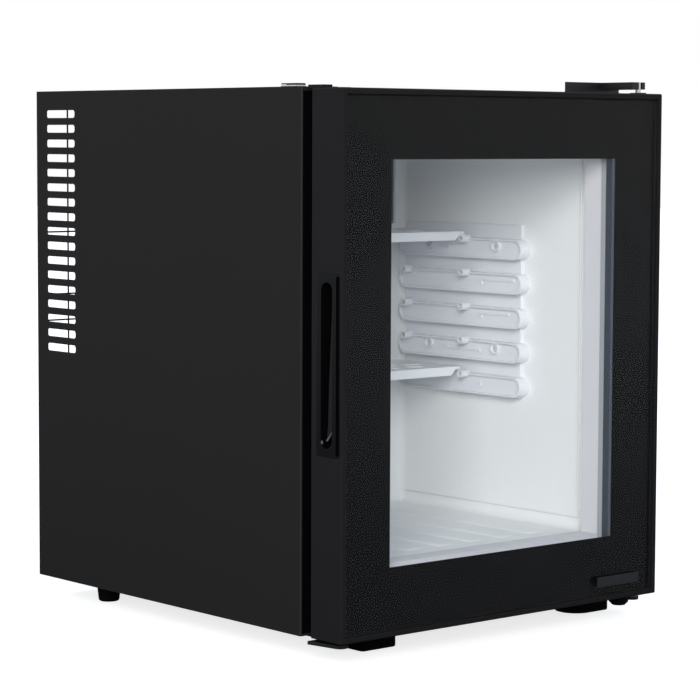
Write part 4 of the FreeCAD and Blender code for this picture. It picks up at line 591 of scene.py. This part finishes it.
def islands(node):
    """The boxes of a CAD node's separate solids, as pairs of corners, in order of place.

    The solids are found in no fixed order, so they are sorted: each run then gives the same.
    """
    mesh = bmesh.new()
    mesh.from_mesh(nodes[node].data)
    bmesh.ops.remove_doubles(mesh, verts=mesh.verts[:], dist=1e-5)
    left = set(mesh.verts)
    boxes = []
    while left:
        reached = [left.pop()]
        for vert in reached:
            for edge in vert.link_edges:
                other = edge.other_vert(vert)
                if other in left:
                    left.remove(other)
                    reached.append(other)
        corners = [
            Vector([pick(vert.co[axis] for vert in reached) for axis in range(3)])
            for pick in (min, max)
        ]
        boxes.append(corners)
    mesh.free()
    return sorted(boxes, key=lambda corners: tuple(corners[0]))


PANE_GAP, PANE_BEVEL = 0.06 * MM, 0.5 * MM
for node in ("front_glass", "rear_glass"):
    low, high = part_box(node)
    low, high = Vector(low), Vector(high)
    low.y += PANE_GAP
    high.y -= PANE_GAP
    pane = block(low, high, PANE_BEVEL)
    name = node.replace("glass", "pane")
    add_piece(name, pane, "clear_pane", "door", "clear_glass", node, smooth=0)


# The glazing spacer and its bead: the bottom bars lie lower than the window's edge, so the
# white liner shows down to the print


SPACER_OPENING = ((-0.135, 0.0785), (0.1318, 0.4275))       # in metres, as (x, z) corners
BEAD_OPENING = ((-0.135, 0.0765), (0.135, 0.4275))


def upright_rectangle(low, high):
    """The corners of a rectangle in order round it, from its low and high (x, z) corners."""
    return (low, (high[0], low[1]), high, (low[0], high[1]))


def glazing_ring(node, opening, bevel):
    """A flat ring that fills a CAD node's box round an opening."""
    low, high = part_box(node)
    outer = upright_rectangle((low[0], low[2]), (high[0], high[2]))
    inner = upright_rectangle(*opening)
    mesh = bmesh.new()
    loops = [
        [mesh.verts.new((x, y, z)) for x, z in outline]
        for outline, y in ((outer, low[1]), (outer, high[1]), (inner, high[1]), (inner, low[1]))
    ]
    skin(mesh, loops, closed=True)
    bevel_edges(mesh, mesh.edges[:], bevel)
    return mesh


add_piece(
    "spacer_bars", glazing_ring("glass_spacer", SPACER_OPENING, 0.3 * MM), "spacer_metal", "door",
    "spacer_metal", "glass_spacer", smooth=0,
)
add_piece(
    "bead_bars", glazing_ring("glass_bead", BEAD_OPENING, 0.6 * MM), "bead_moulding", "door",
    "bead_grey", "glass_bead", smooth=0,
)


# The door seal: a foot on the door, a folded bellows and a head with its magnet channel

SEAL_HALF = 8.75 * MM
CHANNEL_HALF, CHANNEL_PLAY = 5.3 * MM, 0.2 * MM


def seal_outline(low, high):
    """Points of the seal's cross section, from the middle of its width and the door's back."""
    depth = high - low
    steps = (
        (-0.92, 0.0), (-1.0, 0.04), (-1.0, 0.16), (-0.93, 0.22), (-0.66, 0.26), (-0.56, 0.31),
        (-0.66, 0.36), (-0.94, 0.40), (-1.0, 0.47), (-1.0, 0.9), (-0.9, 0.985), (-0.7, 1.0),
        (-0.2, 0.975), (0.2, 0.975), (0.7, 1.0), (0.9, 0.985), (1.0, 0.9), (1.0, 0.47),
        (0.94, 0.40), (0.66, 0.36), (0.56, 0.31), (0.66, 0.26), (0.93, 0.22), (1.0, 0.16),
        (1.0, 0.04), (0.92, 0.0),
    )
    return [(SEAL_HALF * out, low + depth * share) for out, share in steps]


low, high = (Vector(corner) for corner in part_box("door_gasket"))
seal_route = (
    (high.x - low.x) / 2 - SEAL_HALF, (high.z - low.z) / 2 - SEAL_HALF, (high.z + low.z) / 2,
)
magnet_low, magnet_high = (Vector(corner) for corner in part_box("gasket_magnets"))
front, back = magnet_low.y - CHANNEL_PLAY, magnet_high.y + CHANNEL_PLAY
channel = [
    (-CHANNEL_HALF, front), (CHANNEL_HALF, front), (CHANNEL_HALF, back), (-CHANNEL_HALF, back),
]
seal = bmesh.new()
add_shape(seal, frame_ring(seal_outline(low.y, high.y), *seal_route))
add_shape(seal, frame_ring(channel, *seal_route), hollow=True)
add_piece("seal_bellows", seal, "seal_rubber", "door", "seal_rubber", "door_gasket")

# A dark sheet of the seal's rubber over the cabinet's front, in the gap on the door's free sides:
# it paints the shade in that gap

SHADE_SHEET_OUT, SHADE_SHEET_IN, SHADE_SHEET_END = 191.3, 177.0, 130.0       # the dark sheet's places are in millimetres
SHADE_SHEET_LOW, SHADE_SHEET_HIGH, SHADE_SHEET_BAND = 24.0, 482.5, 14.0
SHADE_SHEET_DEPTH = (-173.7, -172.85)
gap_shade_sheet = bmesh.new()
for xs, zs in (
    ((-SHADE_SHEET_OUT, -SHADE_SHEET_IN), (SHADE_SHEET_LOW, SHADE_SHEET_HIGH)),
    ((-SHADE_SHEET_IN, SHADE_SHEET_END), (SHADE_SHEET_LOW, SHADE_SHEET_LOW + SHADE_SHEET_BAND)),
    ((-SHADE_SHEET_IN, SHADE_SHEET_END), (SHADE_SHEET_HIGH - SHADE_SHEET_BAND, SHADE_SHEET_HIGH)),
):
    low, high = ([pair[k] * MM for pair in (xs, SHADE_SHEET_DEPTH, zs)] for k in (0, 1))
    add_shape(gap_shade_sheet, block(low, high, 0.3 * MM))
add_piece("painted_gap_shade", gap_shade_sheet, "seal_rubber", "door", "seal_rubber", smooth=0)


# Screws with cross recesses, in the places of the plain ones


def screw_shape(head_radius, head_height, shank_radius, length):
    """A pan-head screw that points down, with the seat of its head at height 0."""
    mesh = bmesh.new()
    crown = head_radius * 0.84
    bmesh.ops.create_circle(mesh, cap_ends=True, segments=24, radius=crown)
    slot, reach = head_radius * 0.13, head_radius * 0.56
    for axis in (Vector((1, 0, 0)), Vector((0, 1, 0))):
        for offset in (-reach, -slot, slot, reach):
            everything = mesh.verts[:] + mesh.edges[:] + mesh.faces[:]
            bmesh.ops.bisect_plane(mesh, geom=everything, plane_co=axis * offset, plane_no=axis)

    def in_cross(face):
        x, y = (abs(value) for value in face.calc_center_median()[:2])
        return max(x, y) < reach and min(x, y) < slot

    for vert in mesh.verts:
        vert.co.z = head_height * (1 - 0.3 * (vert.co.xy.length / crown) ** 2)
    cross = [face for face in mesh.faces if in_cross(face)]
    rim = [edge for edge in mesh.edges if edge.is_boundary]
    sunk = bmesh.ops.extrude_face_region(mesh, geom=cross)["geom"]
    floor = [item for item in sunk if isinstance(item, bmesh.types.BMVert)]
    bmesh.ops.translate(mesh, verts=floor, vec=(0, 0, -0.62 * head_height))
    bmesh.ops.scale(mesh, verts=floor, vec=(0.72, 0.72, 1))
    for radius, height in (
        (head_radius * 0.96, head_height * 0.5),
        (head_radius, head_height * 0.22),
        (head_radius, 0),
        (shank_radius, 0),
        (shank_radius, 0.9 * shank_radius - length),
        (0.25 * shank_radius, -length),
    ):
        rim, moved = extrude_loop(mesh, rim)
        for vert in moved:
            flat = vert.co.xy.normalized() * radius
            vert.co = (flat.x, flat.y, height)
    bmesh.ops.holes_fill(mesh, edges=rim, sides=0)
    return mesh


def screw_set(node, axis, head_height, shank_radius):
    """All of a node's screws; the heads face outwards, and those of the rails inwards."""
    mesh = bmesh.new()
    centre = (Vector(cad_box[0]) + Vector(cad_box[1])) / 2
    for low, high in islands(node):
        middle = (low + high) / 2
        across = [k for k in range(3) if k != axis]
        radius = (high[across[0]] - low[across[0]]) / 2
        outward = middle[axis] > centre[axis]
        if node == "rail_screws":
            outward = not outward
        way = Vector((0, 0, 0))
        way[axis] = 1 if outward else -1
        seat = middle.copy()
        seat[axis] = high[axis] - head_height if outward else low[axis] + head_height
        turn = way.to_track_quat("Z", "X").to_matrix().to_4x4()
        spin = Matrix.Rotation(0.7 * len(mesh.verts), 4, "Z")
        length = high[axis] - low[axis] - head_height
        shape = screw_shape(radius, head_height, shank_radius, length)
        add_shape(mesh, shape, Matrix.Translation(seat) @ turn @ spin)
    return mesh


add_piece(
    "hinge_screw_set", screw_set("hinge_screws", 2, 1.8 * MM, 1.8 * MM), "bright_plate", "cabinet",
    "bright_steel", "hinge_screws",
)
add_piece(
    "rail_screw_set", screw_set("rail_screws", 0, 1.4 * MM, 1.7 * MM), "rail_moulding", "cabinet",
    "inner_white", "rail_screws",
)


# The inner box: a strip at the joint under each side wall's raised field, a little darker than the
# wall to paint the shade under the field's step, the bead along the field's front edge, the ribs in
# the rails' recesses and the soft shoulders of the floor's strips


def wall_bar(side, wall, proud, sunk, ys, zs, bevel):
    """A bar on a side wall, in millimetres, from in front of the wall's face to behind it."""
    xs = sorted((side * (wall - proud), side * (wall + sunk)))
    low, high = ([pair[k] * MM for pair in (xs, ys, zs)] for k in (0, 1))
    return block(low, high, bevel * MM)


def floor_mound(middle, half, ys, zs, shoulder):
    """A low strip with sloping sides, in millimetres; its top is half the given width each way."""
    mesh = bmesh.new()
    loops = []
    for grow, z in zip((shoulder, 0), zs):
        reach, front, back = half + grow, ys[0] - grow, ys[1] + grow
        outline = ((-reach, front), (reach, front), (reach, back), (-reach, back))
        loops.append([mesh.verts.new(((middle + x) * MM, y * MM, z * MM)) for x, y in outline])
    skin(mesh, loops)
    rim = [edge for edge in mesh.edges if set(edge.verts) <= set(loops[1])]
    bevel_edges(mesh, rim, 1.5 * MM, segments=3)
    return mesh


CAVITY_WALL, RECESS_FLOOR = 154.5, 144.5
RIBS = (((-82.0, -38.0), 308.0), ((-76.0, -34.0), 275.4), ((-36.0, 11.0), 239.2))
RIB_HALF = 1.6
seam_shades, wall_beads, ribs = bmesh.new(), bmesh.new(), bmesh.new()
for side in (-1, 1):
    # A darker strip that paints the shade under the field's step.
    seam_shade_strip = wall_bar(
        side, CAVITY_WALL, proud=0.05, sunk=1.0, ys=(-160.4, 84.0), zs=(88.1, 89.1), bevel=0.15
    )
    add_shape(seam_shades, seam_shade_strip)
    bead = wall_bar(
        side, CAVITY_WALL, proud=1.1, sunk=0.9, ys=(-161.2, -158.6), zs=(89.0, 404.0), bevel=0.8
    )
    add_shape(wall_beads, bead)
    for ys, middle in RIBS:
        zs = (middle - RIB_HALF, middle + RIB_HALF)
        rib = wall_bar(side, RECESS_FLOOR, proud=1.1, sunk=0.4, ys=ys, zs=zs, bevel=0.4)
        add_shape(ribs, rib)
add_piece("wall_seam_shades", seam_shades, "painted_seam_shade", "cabinet", "inner_white", smooth=0)
add_piece("wall_beads", wall_beads, "inner_moulding", "cabinet", "inner_white")
add_piece("rail_ribs", ribs, "rail_moulding", "cabinet", "inner_white", smooth=0)

FLOOR_STRIPS = (-114, -76, -38, 0, 38, 76, 114)
mounds = bmesh.new()
for middle in FLOOR_STRIPS:
    mound = floor_mound(middle, half=10.1, ys=(-146.6, 63.6), zs=(77.2, 78.65), shoulder=4.5)
    add_shape(mounds, mound)
add_piece("floor_mounds", mounds, "inner_moulding", "cabinet", "inner_white", smooth=40)


# The lip that narrows the lower part of the grip's scoop, and lighter strips that paint the glints
# at the scoop's lower end


def flat_piece(outline, xs, bevel):
    """An outline of (y, z) points between two depths, all in millimetres, with soft edges."""
    mesh = bmesh.new()
    loops = [[mesh.verts.new((x * MM, y * MM, z * MM)) for y, z in outline] for x in xs]
    skin(mesh, loops)
    bevel_edges(mesh, mesh.edges[:], bevel * MM)
    return mesh


LIP = ((-213.2, 318.0), (-213.2, 199.0), (-206.0, 191.8), (-207.6, 205.0), (-208.9, 243.0),
       (-211.3, 285.0))
GLINT_OUTLINES = (
    ((-212.8, 199.8), (-212.2, 198.3), (-206.4, 191.4), (-205.5, 191.2), (-206.4, 193.0)),
    ((-199.5, 191.5), (-198.5, 189.6), (-199.0, 187.6), (-200.0, 189.4)),
)
lip = flat_piece(LIP, (-192.2, -190.2), 0.25)
add_piece("scoop_lip", lip, "frame_moulding", "door", "grip_black", smooth=0)
glint_strips = bmesh.new()
for outline in GLINT_OUTLINES:
    add_shape(glint_strips, flat_piece(outline, (-192.4, -191.0), 0.12))
add_piece("scoop_glints", glint_strips, "painted_glint", "door", "grip_black", smooth=0)


# The front feet, with a rounded tread and round corners


def moulded_foot(xs, ys, top, low_radius, high_radius, tread):
    """A foot on the floor, in millimetres; its corners at low and high x each have a radius."""
    outline = []
    for x, y, start, radius in (
        (xs[0], ys[0], 180, low_radius), (xs[1], ys[0], 270, high_radius),
        (xs[1], ys[1], 0, high_radius), (xs[0], ys[1], 90, low_radius),
    ):
        centre_x = x + radius * (1 if x == xs[0] else -1)
        centre_y = y + radius * (1 if y == ys[0] else -1)
        for step in range(9):
            angle = math.radians(start + 90 * step / 8)
            outline.append((centre_x, centre_y, radius, math.cos(angle), math.sin(angle)))
    mesh = bmesh.new()
    steps = (
        (tread, 0), (0.6 * tread, 0.12 * tread), (0.2 * tread, 0.5 * tread), (0, tread), (0, top),
    )
    loops = [
        [
            mesh.verts.new(((cx + (r - inset) * c) * MM, (cy + (r - inset) * s) * MM, z * MM))
            for cx, cy, r, c, s in outline
        ]
        for inset, z in steps
    ]
    skin(mesh, loops)
    return mesh


left_foot = moulded_foot(
    (-127.0, -86.0), (-177.0, -137.5), top=21.5, low_radius=4.5, high_radius=4.5, tread=1.5
)
add_piece("foot_left", left_foot, "foot_rubber", "cabinet", "foot_rubber", "front_foot_left")
right_foot = moulded_foot(
    (137.0, 183.4), (-175.4, -137.5), top=18.5, low_radius=18.5, high_radius=4.5, tread=1.5
)
add_piece("foot_right", right_foot, "foot_rubber", "cabinet", "foot_rubber", "front_foot_right")


# The lighter strips down the front edges of the cabinet's sides, which paint the highlight on those
# edges, and the plate under the spare cover

HIGHLIGHT_STRIP_FACE, HIGHLIGHT_STRIP_WIDTH, HIGHLIGHT_STRIP_END = 192.25 * MM, 0.8 * MM, 1 * MM
HIGHLIGHT_STRIP_DEPTH = (0.25 * MM, 1.05 * MM)
highlight_strips = bmesh.new()
for side, node in ((-1, "left_side_panel"), (1, "right_side_panel")):
    low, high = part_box(node)
    outer = side * HIGHLIGHT_STRIP_FACE
    xs = sorted((outer, outer - side * HIGHLIGHT_STRIP_WIDTH))
    ys = [low[1] + depth for depth in HIGHLIGHT_STRIP_DEPTH]
    highlight_strip = block((xs[0], ys[0], low[2] + HIGHLIGHT_STRIP_END), (xs[1], ys[1], high[2] - HIGHLIGHT_STRIP_END), 0.3 * MM)
    add_shape(highlight_strips, highlight_strip)
add_piece("panel_edge_highlights", highlight_strips, "painted_edge_strip", "cabinet", "cabinet_sheet", smooth=0)

low, high = (Vector(corner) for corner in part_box("spare_hinge_cover"))
WASHER_EDGE = Vector((0.4 * MM, 0.4 * MM, 0))
WASHER_LOW, WASHER_HIGH = 0.1 * MM, 1.4 * MM
washer = block(
    Vector((low.x, low.y, low.z + WASHER_LOW)) - WASHER_EDGE,
    Vector((high.x, high.y, low.z + WASHER_HIGH)) + WASHER_EDGE, 0.2 * MM,
)
add_piece("cover_washer", washer, "bright_plate", "cabinet", "bright_steel", smooth=0)


# Trim of the cooling unit and its control, seen from behind

low, high = (Vector(corner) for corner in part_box("boiler_housing"))
drum = Vector(((low.x + high.x) / 2, (low.y + high.y) / 2, 0))
drum_radius = (high.x - low.x) / 2
DRUM_NECK = 14 * MM
STRAP_SHARES = (0.12, 0.48, 0.84)
STRAP_HALF, STRAP_FLAT = 4 * MM, 3.6 * MM
drum_top = high.z - DRUM_NECK
inner, outer = drum_radius + 0.05 * MM, drum_radius + 0.9 * MM
shoulder = outer - 0.2 * MM
strap_outline = (
    (inner, -STRAP_HALF), (shoulder, -STRAP_HALF), (outer, -STRAP_FLAT), (outer, STRAP_FLAT),
    (shoulder, STRAP_HALF), (inner, STRAP_HALF),
)
straps = bmesh.new()
for share in STRAP_SHARES:
    height = low.z + share * (drum_top - low.z)
    band = turned(strap_outline)
    place = Matrix.Translation(drum + Vector((0, 0, height)))
    add_shape(straps, band, place)
    lug = block(
        (-3 * MM, drum_radius + 0.4 * MM, -3.4 * MM), (3 * MM, drum_radius + 4.6 * MM, 3.4 * MM),
        0.5 * MM,
    )
    add_shape(straps, lug, place)
    bolt = screw_shape(1.9 * MM, 1.3 * MM, 0.9 * MM, 8.5 * MM)
    seat = Matrix.Translation((3 * MM, drum_radius + 2.6 * MM, 0))
    add_shape(straps, bolt, place @ (seat @ Matrix.Rotation(math.pi / 2, 4, "Y")))
add_piece("boiler_straps", straps, "zinc_sheet", "cabinet", "plain_steel")

seam = block(
    (drum.x - drum_radius - 0.9 * MM, drum.y - 3 * MM, low.z + 2 * MM),
    (drum.x - drum_radius + 0.6 * MM, drum.y + 3 * MM, drum_top - 2 * MM), 0.4 * MM,
)
add_piece("boiler_seam", seam, "jacket_sheet", "cabinet", "boiler_jacket", smooth=0)

low, high = (Vector(corner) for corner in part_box("thermostat_dial"))
dial = (low + high) / 2
box_high = Vector(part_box("control_box")[1])
scale = bmesh.new()
TICKS, TICK_SWEEP = 8, 270
TICK_START, TICK_END = 14.6 * MM, 17.6 * MM
for k in range(TICKS):
    angle = math.radians(-TICK_SWEEP / 2 + TICK_SWEEP * k / (TICKS - 1))
    half = (0.35 + 0.07 * k) * MM      # each tick is wider than the one before
    mark = block((-half, -0.2 * MM, TICK_START), (half, 0.25 * MM, TICK_END), 0.1 * MM)
    place = Matrix.Translation((dial.x, box_high.y, dial.z)) @ Matrix.Rotation(angle, 4, "Y")
    add_shape(scale, mark, place)
add_piece("control_scale", scale, "scale_paint", "cabinet", "control_black", smooth=0)


# Room

WHITE = (1, 1, 1, 1)
AMBIENT = 0.44
AMBIENT_TINT = (0.82, 0.98, 1.24, 1)
FLOOR_TONE = 0.6
FLOOR_RADIUS = 14.0
MIRRORED_GLOW = 0.4


def make_floor():
    """A pale sheet: it keeps the object's soft shadow and turns to plain white farther out.

    In reflections it is dark close by, so that it doesn't brighten the door's black print.
    """
    floor = bpy.data.materials.new("floor_sheet")
    floor.use_nodes = True
    tree = floor.node_tree
    matt = tree.nodes["Principled BSDF"]
    matt.inputs["Roughness"].default_value = 0.9
    matt.inputs["Specular IOR Level"].default_value = 0.0
    glow = tree.nodes.new("ShaderNodeEmission")
    distance = tree.nodes.new("ShaderNodeVectorMath")
    distance.operation = "LENGTH"
    tree.links.new(object_place(tree), distance.inputs[0])
    away = distance.outputs["Value"]
    whiten = ramp(tree, away, 0.5, 2.2, 0.77, 1.0, "SMOOTHSTEP")
    fade = ramp(tree, away, 0.6, 4.5, 0.15, 1.0)
    path = tree.nodes.new("ShaderNodeLightPath").outputs
    glossy = path["Is Glossy Ray"]
    dimmed = math_node(tree, "MULTIPLY", fade, FLOOR_TONE)
    shade = mix_colour(tree, glossy, (FLOOR_TONE, FLOOR_TONE, FLOOR_TONE, 1), dimmed)
    tree.links.new(shade, matt.inputs["Base Color"])
    mirrored = math_node(tree, "MULTIPLY", glossy, fade)
    mirrored = math_node(tree, "MULTIPLY", mirrored, MIRRORED_GLOW)
    seen = math_node(tree, "MAXIMUM", path["Is Camera Ray"], mirrored)
    seen = math_node(tree, "MAXIMUM", seen, path["Is Transmission Ray"])
    tree.links.new(math_node(tree, "MULTIPLY", seen, whiten), glow.inputs["Strength"])
    add = tree.nodes.new("ShaderNodeAddShader")
    tree.links.new(matt.outputs[0], add.inputs[0])
    tree.links.new(glow.outputs[0], add.inputs[1])
    tree.links.new(add.outputs[0], tree.nodes["Material Output"].inputs["Surface"])
    mesh = bmesh.new()
    bmesh.ops.create_circle(mesh, cap_ends=True, segments=96, radius=FLOOR_RADIUS)
    data = bpy.data.meshes.new("floor")
    mesh.to_mesh(data)
    mesh.free()
    data.materials.append(floor)
    sheet = bpy.data.objects.new("floor", data)
    bpy.context.scene.collection.objects.link(sheet)


def make_world():
    """Tinted light for the surfaces, plain white for what the camera and mirrors see."""
    world = bpy.data.worlds.new("studio")
    bpy.context.scene.world = world
    world.use_nodes = True
    tree = world.node_tree
    sky = tree.nodes["Background"]
    path = tree.nodes.new("ShaderNodeLightPath").outputs
    seen = math_node(tree, "MAXIMUM", path["Is Camera Ray"], path["Is Glossy Ray"])
    seen = math_node(tree, "MAXIMUM", seen, path["Is Transmission Ray"])
    tree.links.new(mix_colour(tree, seen, AMBIENT_TINT, WHITE), sky.inputs["Color"])
    lift = math_node(tree, "MULTIPLY", seen, 1.0 - AMBIENT)
    tree.links.new(math_node(tree, "ADD", lift, AMBIENT), sky.inputs["Strength"])


def add_lamp(name, place, target_height, size, power, colour=(1, 1, 1)):
    """A soft square lamp that faces a point over the middle of the floor and isn't seen itself."""
    aim = Vector((0, 0, target_height)) - Vector(place)
    lamp = bpy.data.lights.new(name, "AREA")
    lamp.color = colour
    lamp.shape = "SQUARE"
    lamp.size = size
    lamp.energy = power
    stand = bpy.data.objects.new(name, lamp)
    stand.location = place
    stand.rotation_euler = aim.to_track_quat("-Z", "Y").to_euler()
    stand.visible_camera = False
    stand.visible_glossy = False
    stand.visible_transmission = False
    bpy.context.scene.collection.objects.link(stand)


make_floor()
make_world()
add_lamp("key_lamp", (-2.35, -2.45, 1.25), 0.25, size=1.4, power=94.0, colour=(1.0, 0.98, 0.94))
add_lamp("side_lamp", (-3.0, 0.6, 1.6), 0.25, size=1.8, power=10.0)
add_lamp("top_lamp", (0.3, 0.4, 3.0), 0.2, size=2.0, power=20.0)


# Camera, solved from the photograph's edges

CAMERA_PLACE = (-1.5300, -1.7941, 0.4432)
SENSOR, LENS = 36.0, 129.1
YAW, PITCH, ROLL = (math.radians(a) for a in (-40.637, 4.828, 0.233))


def make_camera():
    ahead = Vector(
        (-math.sin(YAW) * math.cos(PITCH), math.cos(YAW) * math.cos(PITCH), -math.sin(PITCH))
    )
    level = Vector((math.cos(YAW), math.sin(YAW), 0))
    above = level.cross(ahead)
    right = level * math.cos(ROLL) + above * math.sin(ROLL)
    above = right.cross(ahead)
    turn = Matrix((right, above, -ahead)).transposed()
    lens = bpy.data.cameras.new("camera")
    lens.sensor_width = SENSOR
    lens.lens = LENS
    lens.clip_start = 0.05
    lens.clip_end = 60.0
    camera = bpy.data.objects.new("camera", lens)
    camera.matrix_world = Matrix.Translation(CAMERA_PLACE) @ turn.to_4x4()
    bpy.context.scene.collection.objects.link(camera)
    bpy.context.scene.camera = camera


make_camera()
bpy.context.scene.view_settings.view_transform = "Standard"
